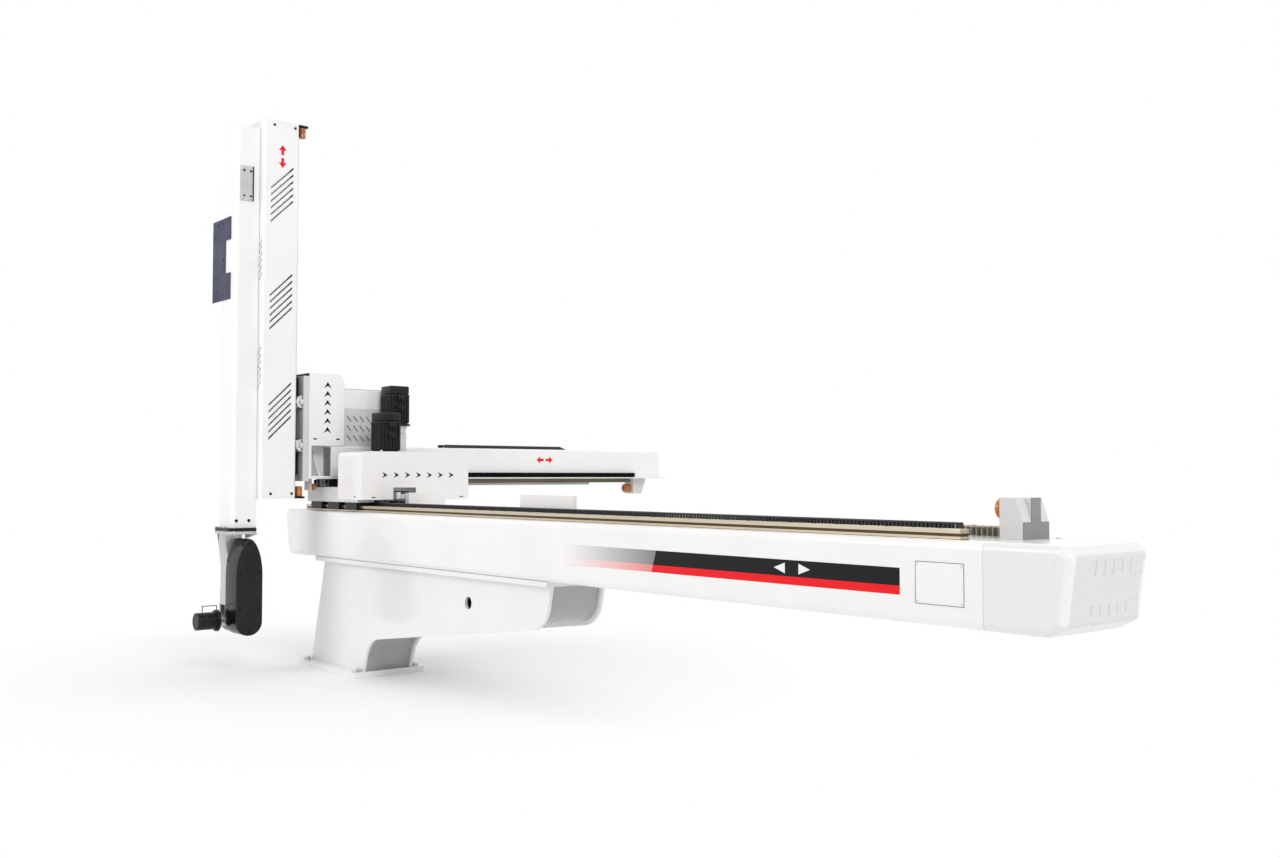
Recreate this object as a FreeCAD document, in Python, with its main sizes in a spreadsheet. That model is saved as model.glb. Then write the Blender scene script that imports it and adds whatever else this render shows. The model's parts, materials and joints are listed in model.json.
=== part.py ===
import FreeCAD, Part
import math
import os
import re
import Sketcher

# Driving sizes in millimetres, written once and read by every piece below.
SIZES = [
    # Foot and pedestal
    ("foot_length", 512), ("foot_width", 326), ("foot_thickness", 23),
    ("foot_bolt_inset", 27), ("foot_bolt_hole_radius", 13), ("foot_bolt_radius", 10),
    ("bolt_head_height", 12), ("bolt_head_radius", 15), ("washer_thickness", 3), ("washer_radius", 19),
    ("pedestal_height", 438), ("pedestal_plate_gap", 204), ("pedestal_plate_thickness", 12),
    ("pedestal_foot_left", 235), ("pedestal_foot_right", 244), ("pedestal_top_left", 115),
    ("pedestal_reach", 1566), ("pedestal_arch_x", 290), ("pedestal_arch_rise", 134),
    ("pedestal_nose_inset", 32), ("pedestal_nose_rise", 294), ("arch_radius", 128), ("nose_radius", 104),
    ("web_inset", 14), ("web_thickness", 12),
    ("lifting_hole_x", 1052), ("lifting_hole_rise", 344), ("lifting_hole_radius", 23),
    ("flange_thickness", 18), ("flange_width", 296), ("flange_overhang", 22),
    # Traverse beam and its end caps
    ("beam_length", 3525), ("beam_width", 320), ("beam_height", 200), ("beam_wall", 9),
    ("beam_corner_radius", 20), ("beam_overhang", 251),
    ("left_cap_length", 176), ("left_cap_toe", 130), ("right_cap_length", 221), ("right_cap_toe", 156),
    ("cap_lower_step", 24), ("cap_upper_step", 22), ("cap_slope", 22), ("cap_corner_radius", 26),
    ("panel_width", 190), ("panel_height", 60), ("panel_depth", 3), ("face_inset", 26), ("face_depth", 4),
    ("groove_width", 9), ("groove_depth", 3), ("groove_pitch", 36), ("groove_length", 34),
    # Traverse rails, rack, duct and drag chain
    ("rail_length", 3456), ("rail_width", 34), ("rail_height", 24), ("rail_inset", 40),
    ("rail_waist", 3), ("rail_groove_height", 7), ("rail_lip", 7),
    ("rack_depth", 18), ("rack_height", 22), ("rack_module", 5), ("rack_gap", 1),
    ("duct_offset", 84), ("duct_width", 24), ("duct_height", 37), ("duct_length", 3010), ("duct_start", 388),
    ("duct_wall", 2),
    ("chain_offset", 126), ("chain_width", 39), ("chain_height", 35), ("chain_start", 560),
    ("chain_length", 1705), ("chain_gap", 3),
    ("chain_box_start", 1540), ("chain_box_length", 312), ("chain_box_height", 80), ("chain_box_width", 14),
    ("chain_box_gap", 2),
    # End stop of the traverse
    ("stop_start", 3483), ("stop_length", 63), ("stop_width", 106), ("stop_height", 96),
    ("stop_offset", 128), ("stop_shoulder", 36), ("stop_crown", 43), ("stop_rib", 39),
    ("bumper_radius", 24), ("bumper_length", 24), ("bumper_bore", 7), ("bumper_rise", 70),
    # Carriage on the traverse beam
    ("carriage_setback", 47), ("carriage_length", 473), ("carriage_width", 312),
    ("guide_height", 38), ("guide_lift", 6), ("guide_width", 62), ("guide_length", 102), ("guide_pitch", 162),
    ("guide_inset", 26), ("rail_clearance", 0.5),
    ("saddle_leg_width", 72), ("saddle_leg_height", 46), ("saddle_plate_thickness", 16),
    ("saddle_corner_radius", 12),
    ("motor_size", 102), ("motor_length", 175), ("motor_flange_thickness", 8), ("motor_edge_radius", 9),
    ("motor_cap_length", 38), ("motor_cap_inset", 5), ("shaft_radius", 11),
    ("gearbox_size", 80), ("gearbox_edge_radius", 8),
    ("pinion_teeth", 12), ("pinion_thickness", 18), ("mesh_clearance", 0.3), ("tooth_share", 0.42),
    ("pinion_bore_clearance", 0.05),
    ("traverse_motor_x", 378), ("traverse_motor_top", 418), ("cross_motor_y", 309), ("cross_motor_top", 542),
    ("cross_gearbox_bottom", 176),
    ("cover_start_x", 343), ("cover_length_x", 215), ("cover_start_y", 2), ("cover_length_y", 504),
    ("cover_bottom", 49), ("cover_height", 199), ("cover_wall", 2), ("cover_corner_radius", 24),
    ("cover_window_start", 146), ("cover_window_width", 105), ("cover_window_height", 50),
    ("cover_hole_clearance", 3),
    ("tray_length", 170), ("tray_width", 34), ("tray_height", 50), ("tray_start_y", 200),
    # Crosswise beam that slides on the carriage
    ("cross_inset", 11), ("cross_width", 160), ("cross_height", 135), ("cross_wall", 6),
    ("cross_start", 30), ("cross_length", 1681), ("cross_cap_length", 175), ("cross_corner_radius", 8),
    ("cross_guide_height", 35), ("cross_flange_thickness", 6), ("cross_flange_width", 188),
    ("cross_flange_extra", 22),
    ("cross_rail_width", 20), ("cross_rail_height", 20), ("cross_rail_pitch", 108), ("cross_rail_end_gap", 8),
    ("cross_block_width", 44), ("cross_block_length", 84), ("cross_block_pitch", 176),
    ("cross_block_start", 24),
    ("channel_width", 60), ("channel_height", 31), ("channel_length", 1430), ("channel_wall", 4),
    ("cross_rack_depth", 22), ("cross_rack_height", 20), ("cross_rack_start", 96), ("cross_rack_module", 5),
    ("cross_stop_width", 70), ("cross_stop_thickness", 14), ("cross_stop_height", 78), ("cross_stop_y", 1744),
    ("cross_bumper_radius", 22), ("cross_bumper_length", 34), ("cross_bumper_drop", 50),
    ("near_bumper_radius", 14), ("near_bumper_length", 24),
    ("top_chain_start", 622), ("top_chain_length", 690), ("top_chain_width", 74), ("top_chain_height", 16),
    # Head that carries the vertical arm
    ("head_left", 28), ("head_width", 190), ("head_plate_gap", 72), ("head_plate_thickness", 26),
    ("head_plate_drop", 25), ("head_plate_height", 447), ("bracket_wall", 12),
    ("head_cover_height", 300), ("head_cover_depth", 162), ("head_cover_radius", 42),
    ("rear_cover_length", 236), ("rear_cover_height", 252), ("rear_cover_gap", 3),
    ("rear_cover_width", 138), ("vent_pitch", 30), ("vent_width", 5), ("vent_length", 24),
    ("lift_motor_length", 165), ("lift_box", 96), ("lift_neck", 84),
    ("idler_radius", 27), ("idler_length", 34), ("idler_low", 151), ("idler_high", 336),
    ("idler_axle_radius", 8),
    ("pulley_radius", 38), ("pulley_length", 38), ("belt_offset", 165), ("ear_thickness", 6),
    ("ear_height", 20), ("ear_gap", 1), ("pulley_rise", 244), ("pulley_setback", 66),
    ("arm_block_width", 44), ("arm_block_length", 90), ("arm_block_low", 30), ("arm_block_high", 352),
    ("arm_block_depth", 26),
    # Vertical arm, first stage
    ("arm_gap", 31), ("arm_depth", 155), ("arm_length", 1590), ("arm_bottom", 48), ("arm_cover_wall", 2),
    ("arm_corner_radius", 10), ("arm_core_inset", 22), ("arm_core_wall", 7),
    ("arm_rail_width", 20), ("arm_rail_height", 17), ("arm_rail_pitch", 96), ("arm_rail_offset", 70),
    ("slot_width", 7), ("slot_rise", 96), ("slot_reach", 98), ("slot_pitch", 28), ("slot_inset", 32),
    ("slot_low", 244), ("slot_middle", 703), ("slot_high", 1155), ("front_slot_low", 443),
    ("front_slot_high", 897),
    ("front_slot_rise", 41), ("front_slot_reach", 45),
    ("belt_width", 30), ("belt_thickness", 2), ("belt_clearance", 0.4), ("arm_bumper_radius", 16),
    ("arm_bumper_length", 52),
    ("bumper_bracket_margin", 4), ("slots_per_group", 6), ("belt_clamp_height", 40), ("belt_clamp_depth", 6),
    ("bumper_base_thickness", 9),
    # Vertical arm, second stage
    ("slide_gap", 12), ("skirt_clearance", 1), ("slide_left", 31), ("slide_width", 148),
    ("slide_depth", 89), ("slide_length", 1672),
    ("slide_drop", 119), ("slide_wall", 5), ("slide_corner_radius", 16),
    ("slide_rail_width", 15), ("slide_rail_height", 9), ("slide_rail_pitch", 90), ("slide_block_width", 38),
    ("slide_block_length", 84), ("slide_block_depth", 8), ("slide_block_low", 60), ("slide_block_high", 420),
    ("ring_thickness", 14), ("ring_margin", 16), ("ring_corner_radius", 24),
    ("joint_plate_height", 146), ("joint_plate_thickness", 3), ("joint_plate_drop", 314),
    ("valve_plate_height", 345), ("valve_plate_width", 190), ("valve_plate_thickness", 4),
    ("valve_plate_rise", 950), ("valve_plate_notch", 55), ("valve_plate_notch_height", 140),
    # Wrist
    ("wrist_left", -16), ("wrist_width", 80), ("wrist_depth", 104), ("wrist_axis_drop", 375),
    ("wrist_neck", 64), ("wrist_plate", 12), ("neck_height", 170), ("neck_inset", 9),
    ("wrist_axis_y", 308), ("fork_wall", 14), ("fork_gap", 0.5),
    ("belt_cover_thickness", 118), ("belt_cover_radius", 56),
    ("belt_cover_top_radius", 34), ("belt_cover_top", 66), ("belt_cover_shoulder", 190),
    ("side_cover_thickness", 10),
    ("hub_radius", 38), ("wrist_axle_radius", 12),
    ("tool_flange_radius", 45), ("tool_flange_thickness", 12), ("tool_body_radius", 36),
    ("tool_body_length", 82),
    ("tool_offset", 72), ("tool_neck_radius", 25), ("spigot_radius", 12), ("spigot_length", 24),
    ("tool_gap", 0.5), ("tool_face_pcd", 44), ("tool_face_hole_radius", 4), ("tool_face_hole_depth", 14),
    # Fasteners
    ("screw_head_radius", 6), ("screw_head_height", 3),
]

# Places worked out from the sizes: x runs along the traverse beam, y away from its near face, z up.
PLACES = {
    "near": "-beam_width/2",
    "beam_left": "-beam_overhang",
    "beam_right": "beam_left + beam_length",
    "pedestal_top": "foot_thickness + pedestal_height",
    "beam_bottom": "pedestal_top + flange_thickness",
    "beam_top": "beam_bottom + beam_height",
    "plate_near": "-pedestal_plate_gap/2 - pedestal_plate_thickness",
    "plate_far": "pedestal_plate_gap/2",
    "near_rail_y": "near + rail_inset",
    "far_rail_y": "-near - rail_inset",
    "rail_left": "beam_left - 6",
    "carriage_left": "beam_left + carriage_setback",
    "saddle_bottom": "beam_top + guide_height",
    "saddle_underside": "saddle_bottom + saddle_leg_height",
    "saddle_top": "saddle_underside + saddle_plate_thickness",
    "rack_tip_y": "far_rail_y - guide_width/2 - rack_gap - rack_depth",
    "traverse_pitch_radius": "rack_module*pinion_teeth/2",
    "traverse_axis_x": "beam_left + traverse_motor_x",
    "traverse_axis_y": "rack_tip_y + rack_module - traverse_pitch_radius - mesh_clearance",
    "cross_left": "carriage_left + cross_inset",
    "cross_right": "cross_left + cross_width",
    "cross_middle": "cross_left + cross_width/2",
    "cross_flange_bottom": "saddle_top + cross_guide_height",
    "cross_bottom": "cross_flange_bottom + cross_flange_thickness",
    "cross_top": "cross_bottom + cross_height",
    "cross_start_y": "near + cross_start",
    "cross_end_y": "cross_start_y + cross_length",
    "cross_rack_tip_x": "cross_right + cross_rack_depth",
    "cross_pitch_radius": "cross_rack_module*pinion_teeth/2",
    "cross_axis_x": "cross_rack_tip_x - cross_rack_module + cross_pitch_radius + mesh_clearance",
    "cross_axis_y": "near + cross_motor_y",
    "cross_rack_bottom": "cross_bottom + 2",
    "cover_x": "beam_left + cover_start_x",
    "cover_y": "near + cover_start_y",
    "cover_z": "beam_top + cover_bottom",
    "head_x": "beam_left + head_left",
    "head_right": "head_x + head_width",
    "head_middle": "head_x + head_width/2",
    "head_plate_far_y": "near - head_plate_gap",
    "head_plate_near_y": "head_plate_far_y - head_plate_thickness",
    "head_plate_bottom": "saddle_top + head_plate_drop",
    "head_cover_bottom": "cross_top + bracket_wall - 2",
    "arm_far_y": "head_plate_near_y - arm_gap",
    "arm_near_y": "arm_far_y - arm_depth",
    "arm_z": "saddle_top - arm_bottom",
    "arm_top": "arm_z + arm_length",
    "slide_far_y": "arm_near_y - slide_gap",
    "slide_near_y": "slide_far_y - slide_depth",
    "slide_x": "beam_left + slide_left",
    "slide_middle": "slide_x + slide_width/2",
    "slide_middle_y": "slide_near_y + slide_depth/2",
    "slide_z": "arm_z - slide_drop",
    "ring_z": "slide_z - ring_thickness",
    "wrist_x": "beam_left + wrist_left",
    "wrist_right": "wrist_x + wrist_width",
    "axis_y": "near - wrist_axis_y",
    "axis_z": "ring_z - wrist_axis_drop",
    "belt_cover_centre": "ring_z - belt_cover_top",
    "shoulder_z": "axis_z + belt_cover_shoulder",
    "belt_cover_lean": "(belt_cover_radius - belt_cover_top_radius)/(belt_cover_centre - shoulder_z)",

    "belt_x": "head_x + belt_offset",
    "arm_rail_middle": "head_x + arm_rail_offset",
    "idler_y": "arm_far_y + belt_thickness + belt_clearance + idler_radius",
    "pulley_y": "head_plate_far_y + pulley_setback",
    "pulley_z": "head_plate_bottom + pulley_rise",
    "low_idler_z": "head_plate_bottom + idler_low",
    "high_idler_z": "head_plate_bottom + idler_high",
}

NUMBERS = dict(SIZES)
document = FreeCAD.newDocument("take_out_robot")
sheet = document.addObject("Spreadsheet::Sheet", "Sizes")
for row, (alias, number) in enumerate(SIZES, start=1):
    sheet.set("A%d" % row, alias)
    sheet.set("B%d" % row, str(number))
    sheet.setAlias("B%d" % row, alias)
document.recompute()

NODES = {}
WORD = re.compile(r"[a-z_]+")


# An expression in size and place names, written out for the document.
def expand(text):
    def replace(match):
        word = match.group(0)
        if word in PLACES:
            return "(" + expand(PLACES[word]) + ")"
        if word in NUMBERS:
            return "Sizes." + word
        return word
    return WORD.sub(replace, str(text))


# The same expression as a number.
def value(text):
    def replace(match):
        word = match.group(0)
        if word in PLACES:
            return "(" + str(value(PLACES[word])) + ")"
        return repr(float(NUMBERS[word]))
    return FreeCAD.Units.Quantity(WORD.sub(replace, str(text))).Value


def bind(item, name, text):
    item.setExpression(name, expand(text))


def put(item, x, y, z):
    for axis, text in zip("xyz", (x, y, z)):
        bind(item, "Placement.Base." + axis, text)


# A box from its lowest corner and its three lengths.
def box(x, y, z, length, width, height):
    item = document.addObject("Part::Box", "Block")
    bind(item, "Length", length)
    bind(item, "Width", width)
    bind(item, "Height", height)
    put(item, x, y, z)
    return item


TURNS = {
    "x": FreeCAD.Rotation(FreeCAD.Vector(0, 1, 0), 90),
    "y": FreeCAD.Rotation(FreeCAD.Vector(1, 0, 0), -90),
    "z": FreeCAD.Rotation(),
}


# A round bar from the middle of its first face, along one axis.
def rod(axis, x, y, z, radius, length):
    item = document.addObject("Part::Cylinder", "Rod")
    bind(item, "Radius", radius)
    bind(item, "Height", length)
    item.Placement = FreeCAD.Placement(FreeCAD.Vector(), TURNS[axis])
    put(item, x, y, z)
    return item


def joined(*items):
    item = document.addObject("Part::MultiFuse", "Joined")
    item.Shapes = list(items)
    item.Refine = True
    return item


def group(*items):
    item = document.addObject("Part::Compound", "Group")
    item.Links = list(items)
    return item


def cut(base, *tools):
    item = document.addObject("Part::Cut", "Cut")
    item.Base = base
    item.Tool = tools[0] if len(tools) == 1 else group(*tools)
    return item


# The edges of a solid for which a test on the middle of the edge and its direction holds.
def edges_where(item, test):
    document.recompute()
    found = []
    for index, edge in enumerate(item.Shape.Edges, start=1):
        if len(edge.Vertexes) < 2:
            continue
        first, last = edge.Vertexes[0].Point, edge.Vertexes[-1].Point
        run = last - first
        if run.Length < 1e-6:
            continue
        if test((first + last) * 0.5, run.normalize(), edge):
            found.append(index)
    return found


# A box or boolean with the edges along one axis rounded.
def rounded(item, radius, test):
    result = document.addObject("Part::Fillet", "Rounded")
    result.Base = item
    result.Edges = [(index, value(radius), value(radius)) for index in edges_where(item, test)]
    return result


def along(axis):
    position = "xyz".index(axis)
    return lambda middle, run, edge: abs(run[position]) > 0.999


PLANES = {"XY": "XY_Plane", "XZ": "XZ_Plane", "YZ": "YZ_Plane"}


def attached_sketch(body, plane, offset, name):
    sketch = body.newObject("Sketcher::SketchObject", name)
    for feature in body.Origin.OriginFeatures:
        if feature.Role == PLANES[plane]:
            sketch.AttachmentSupport = [(feature, "")]
    sketch.MapMode = "FlatFace"
    if offset is not None:
        bind(sketch, "AttachmentOffset.Base.z", offset)
    return sketch


# A closed outline whose corners are held by sizes.
def outline(sketch, points):
    numbers = [(value(u), value(v)) for u, v in points]
    count = len(points)
    first = sketch.GeometryCount
    for index in range(count):
        start = FreeCAD.Vector(*numbers[index], 0)
        end = FreeCAD.Vector(*numbers[(index + 1) % count], 0)
        sketch.addGeometry(Part.LineSegment(start, end), False)
    for index in range(count):
        following = first + (index + 1) % count
        sketch.addConstraint(Sketcher.Constraint("Coincident", first + index, 2, following, 1))
    for index, (u, v) in enumerate(points):
        for kind, text, number in (("DistanceX", u, numbers[index][0]), ("DistanceY", v, numbers[index][1])):
            place = sketch.addConstraint(Sketcher.Constraint(kind, -1, 1, first + index, 1, number))
            sketch.setExpression("Constraints[%d]" % place, expand(text))


def circle(sketch, u, v, radius):
    middle = FreeCAD.Vector(value(u), value(v), 0)
    index = sketch.addGeometry(Part.Circle(middle, FreeCAD.Vector(0, 0, 1), value(radius)), False)
    for kind, text in (("DistanceX", u), ("DistanceY", v)):
        place = sketch.addConstraint(Sketcher.Constraint(kind, -1, 1, index, 3, value(text)))
        sketch.setExpression("Constraints[%d]" % place, expand(text))
    place = sketch.addConstraint(Sketcher.Constraint("Radius", index, value(radius)))
    sketch.setExpression("Constraints[%d]" % place, expand(radius))


# A plate or bar of one outline: the outline lies in a plane and runs along that plane's own axis.
def profile(plane, points, start, length, holes=()):
    body = document.addObject("PartDesign::Body", "Profile")
    offset = "-(%s) - (%s)" % (start, length) if plane == "XZ" else start
    sketch = attached_sketch(body, plane, offset, "Outline")
    outline(sketch, points)
    for u, v, radius in holes:
        circle(sketch, u, v, radius)
    pad = body.newObject("PartDesign::Pad", "Pad")
    pad.Profile = sketch
    bind(pad, "Length", length)
    document.recompute()
    return body


# Rounds the edges of a body that pass a test.
def fillet(body, radius, test):
    base = body.Tip
    names = ["Edge%d" % index for index in edges_where(base, test)]
    if not names:
        raise RuntimeError("no edge to round on " + body.Label)
    feature = body.newObject("PartDesign::Fillet", "Fillet")
    feature.Base = (base, names)
    bind(feature, "Radius", radius)
    body.Tip = feature
    document.recompute()
    return body


# Cuts an outline or circles through the whole of a body.
def pocket(body, plane, points=None, circles=(), start="0", depth=None, both=True):
    before = body.Shape.Volume
    sketch = attached_sketch(body, plane, start, "Opening")
    if points:
        outline(sketch, points)
    for u, v, radius in circles:
        circle(sketch, u, v, radius)
    feature = body.newObject("PartDesign::Pocket", "Pocket")
    feature.Profile = sketch
    if depth is None:
        feature.Type = "ThroughAll"
        feature.Midplane = both
    else:
        bind(feature, "Length", depth)
    body.Tip = feature
    document.recompute()
    if body.Shape.Volume > before - 1e-3:
        feature.Reversed = True
        document.recompute()
    if body.Shape.Volume > before - 1e-3:
        raise RuntimeError("a pocket cuts nothing")
    return body


def near_point(points, reach):
    places = [(value(u), value(v)) for u, v in points]

    def test(middle, u_axis, v_axis):
        return any(math.hypot(middle[u_axis] - u, middle[v_axis] - v) < reach for u, v in places)
    return test


# A test for edges along one axis that stand at given corners of an outline.
def corner(axis, *points):
    others = [index for index in range(3) if "xyz"[index] != axis]
    near_places = near_point(points, 1.0)
    position = "xyz".index(axis)

    def test(middle, run, edge):
        return abs(run[position]) > 0.999 and near_places(middle, others[0], others[1])
    return test


def keep(name, item):
    if name in NODES:
        raise RuntimeError(name + " is made twice")
    item.Label = name
    NODES[name] = item
    return item


# A straight rack or a pinion is one outline of many like teeth, worked out by a loop.
def rack_face(start, end, tip, back, module, phase):
    pitch = math.pi * module
    first = math.ceil((start - phase) / pitch + 0.5)
    last = math.floor((end - phase) / pitch - 0.5)
    side = 1 if back > tip else -1
    root = tip + side * 2.25 * module
    points = [(start, back), (start, root)]
    for tooth in range(first, last + 1):
        middle = phase + tooth * pitch
        wide = pitch * NUMBERS["tooth_share"] / 2 + math.tan(math.radians(20)) * 1.25 * module
        thin = pitch * NUMBERS["tooth_share"] / 2 - math.tan(math.radians(20)) * module
        points += [(middle - wide, root), (middle - thin, tip), (middle + thin, tip), (middle + wide, root)]
    return points + [(end, root), (end, back)]


def pinion_points(module, turn):
    count = int(NUMBERS["pinion_teeth"])
    pitch_radius = module * count / 2
    points = []
    for tooth in range(count):
        centre = turn + 2 * math.pi * tooth / count
        half = math.pi * NUMBERS["tooth_share"] / count
        steps = ((-1.30 * half, -1.25 * module), (-half, 0.0), (-0.35 * half, module),
                 (0.35 * half, module), (half, 0.0), (1.30 * half, -1.25 * module))
        for angle, rise in steps:
            radius = pitch_radius + rise
            points.append((radius * math.cos(centre + angle), radius * math.sin(centre + angle)))
    return points


def solid_of(points, height):
    wire = Part.makePolygon([FreeCAD.Vector(x, y, 0) for x, y in points + points[:1]])
    return Part.Face(wire).extrude(FreeCAD.Vector(0, 0, height))


def shaped(shape, x, y, z):
    item = document.addObject("Part::Feature", "Toothed")
    item.Shape = shape
    put(item, x, y, z)
    return item


# Foot, bolted down at its four corners
def make_foot():
    half_length, half_width = "foot_length/2", "foot_width/2"
    corners = [(sx + "(foot_length/2 - foot_bolt_inset)", sy + "(foot_width/2 - foot_bolt_inset)")
               for sx in ("-", "") for sy in ("-", "")]
    plate = profile("XY", [("-" + half_length, "-" + half_width), (half_length, "-" + half_width),
                           (half_length, half_width), ("-" + half_length, half_width)],
                    "0", "foot_thickness", [(u, v, "foot_bolt_hole_radius") for u, v in corners])
    keep("foot_plate", plate)
    bolts = []
    for u, v in corners:
        shank = rod("z", u, v, "0", "foot_bolt_radius", "foot_thickness + washer_thickness")
        washer = rod("z", u, v, "foot_thickness", "washer_radius", "washer_thickness")
        head = rod("z", u, v, "foot_thickness + washer_thickness", "bolt_head_radius", "bolt_head_height")
        bolts.append(joined(shank, washer, head))
    keep("anchor_bolts", group(*bolts))


# Pedestal: two side plates with a long nose, webs between them and a flange under the beam
def make_pedestal():
    arch = ("pedestal_arch_x", "foot_thickness + pedestal_arch_rise")
    nose = ("pedestal_reach - pedestal_nose_inset", "foot_thickness + pedestal_nose_rise")
    side = [("-pedestal_foot_left", "foot_thickness"), ("pedestal_foot_right", "foot_thickness"), arch, nose,
            ("pedestal_reach", "pedestal_top"), ("-pedestal_top_left", "pedestal_top")]
    hole = [("lifting_hole_x", "foot_thickness + lifting_hole_rise", "lifting_hole_radius")]
    plates = []
    for start in ("plate_near", "plate_far"):
        plate = profile("XZ", side, start, "pedestal_plate_thickness", hole)
        fillet(plate, "arch_radius", corner("y", arch))
        fillet(plate, "nose_radius", corner("y", nose))
        plates.append(plate)
    keep("pedestal_side_plates", group(*plates))

    def shifted(inset):
        return [("pedestal_foot_right - (%s)" % inset, "foot_thickness"),
                (arch[0] + " - (%s)" % inset, arch[1] + " + " + inset),
                (nose[0] + " - (%s)" % inset, nose[1] + " + " + inset),
                ("pedestal_reach - (%s)" % inset, "pedestal_top")]
    outer, inner = shifted("web_inset"), shifted("web_inset + web_thickness")
    ribbon = profile("XZ", outer + inner[::-1], "-pedestal_plate_gap/2", "pedestal_plate_gap")
    fillet(ribbon, "arch_radius + web_inset", corner("y", outer[1]))
    fillet(ribbon, "arch_radius + web_inset + web_thickness", corner("y", inner[1]))
    fillet(ribbon, "nose_radius - web_inset", corner("y", outer[2]))
    fillet(ribbon, "nose_radius - web_inset - web_thickness", corner("y", inner[2]))
    back = profile("XZ", [("-pedestal_foot_left + web_inset", "foot_thickness"),
                          ("-pedestal_foot_left + web_inset + web_thickness", "foot_thickness"),
                          ("-pedestal_top_left + web_inset + web_thickness", "pedestal_top"),
                          ("-pedestal_top_left + web_inset", "pedestal_top")],
                   "-pedestal_plate_gap/2", "pedestal_plate_gap")
    keep("pedestal_webs", group(ribbon, back))
    flange = box("-pedestal_top_left - flange_overhang", "-flange_width/2", "pedestal_top",
                 "pedestal_top_left + pedestal_reach + 2*flange_overhang", "flange_width", "flange_thickness")
    keep("pedestal_flange", flange)


# Traverse beam: a rounded tube closed by two moulded caps
def make_beam():
    def frame(inset):
        low, high = "beam_bottom + " + inset, "beam_top - (%s)" % inset
        left, right = "near + " + inset, "-near - (%s)" % inset
        return [(left, low), (right, low), (right, high), (left, high)]
    beam = profile("YZ", frame("0"), "beam_left", "beam_length")
    fillet(beam, "beam_corner_radius", along("x"))
    pocket(beam, "YZ", frame("beam_wall"))
    keep("main_beam", beam)


def rounded_cap(points, root):
    cap = profile("XZ", points, "near", "beam_width")
    edge = value(root)
    return fillet(cap, "beam_corner_radius", lambda middle, run, item: abs(middle.x - edge) > 1)


def make_caps():
    left = [("beam_left", "beam_bottom"), ("beam_left", "beam_top"),
            ("beam_left - left_cap_length + cap_corner_radius", "beam_top"),
            ("beam_left - left_cap_length", "beam_top - cap_upper_step"),
            ("beam_left - left_cap_length + cap_slope", "beam_bottom + cap_lower_step + cap_upper_step/2"),
            ("beam_left - left_cap_toe", "beam_bottom")]
    keep("left_end_cap", rounded_cap(left, "beam_left"))
    foot = "beam_bottom + cap_lower_step"
    crown = "beam_top - cap_upper_step"
    tip = "beam_right + right_cap_length"
    right = [("beam_right", "beam_bottom"), ("beam_right + right_cap_toe", "beam_bottom"),
             (tip + " - cap_slope", foot), (tip, crown), (tip + " - cap_corner_radius", "beam_top"),
             ("beam_right", "beam_top")]
    cap = rounded_cap(right, "beam_right")

    def recess(low, high, depth):
        rise = "(beam_height - cap_lower_step - cap_upper_step)"
        low_x = tip + " - cap_slope*(%s - (%s))/%s" % (crown, low, rise)
        high_x = tip + " - cap_slope*(%s - (%s))/%s" % (crown, high, rise)
        return [(low_x + " - " + depth, low), (low_x + " + 9", low), (high_x + " + 9", high),
                (high_x + " - " + depth, high)]
    face = recess(foot + " + face_inset/2", crown + " - face_inset/2", "face_depth")
    pocket(cap, "XZ", face, start="near + face_inset", depth="beam_width - 2*face_inset")
    middle = "(beam_bottom + beam_top)/2"
    panel = recess(middle + " - panel_height/2", middle + " + panel_height/2", "face_depth + panel_depth")
    pocket(cap, "XZ", panel, start="-panel_width/2", depth="panel_width")
    spans = ((middle + " + panel_height/2 + groove_depth", middle + " + panel_height/2 + groove_length"),
             (middle + " - panel_height/2 - groove_length*0.7", middle + " - panel_height/2 - groove_depth"))
    for step in range(-2, 3):
        for low, high in spans:
            place = "-(%d*groove_pitch) - groove_width/2" % step
            pocket(cap, "XZ", recess(low, high, "face_depth + groove_depth"), start=place, depth="groove_width")
    keep("right_end_cap", cap)


# Two profile rails on the beam, waisted along both sides
def rail_outline(middle, base, width, height):
    half = width + "/2"
    steps = [("", "0"), ("", "rail_lip"), (" - rail_waist", "rail_lip"),
             (" - rail_waist", "rail_lip + rail_groove_height"), ("", "rail_lip + rail_groove_height"),
             ("", height)]
    right = [(middle + " + (" + half + inset + ")", base + " + " + rise) for inset, rise in steps]
    left = [(middle + " - (" + half + inset + ")", base + " + " + rise) for inset, rise in steps]
    return right + left[::-1]


def make_traverse_rails():
    rails = [profile("YZ", rail_outline(middle, "beam_top", "rail_width", "rail_height"),
                     "rail_left", "rail_length") for middle in ("near_rail_y", "far_rail_y")]
    keep("traverse_rails", group(*rails))
    start, end = value("rail_left"), value("rail_left + rail_length")
    tip = value("rack_tip_y")
    points = rack_face(start, end, tip, tip + NUMBERS["rack_depth"], NUMBERS["rack_module"],
                       value("traverse_axis_x"))
    keep("traverse_rack", shaped(solid_of(points, NUMBERS["rack_height"]), "0", "0", "beam_top"))


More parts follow.
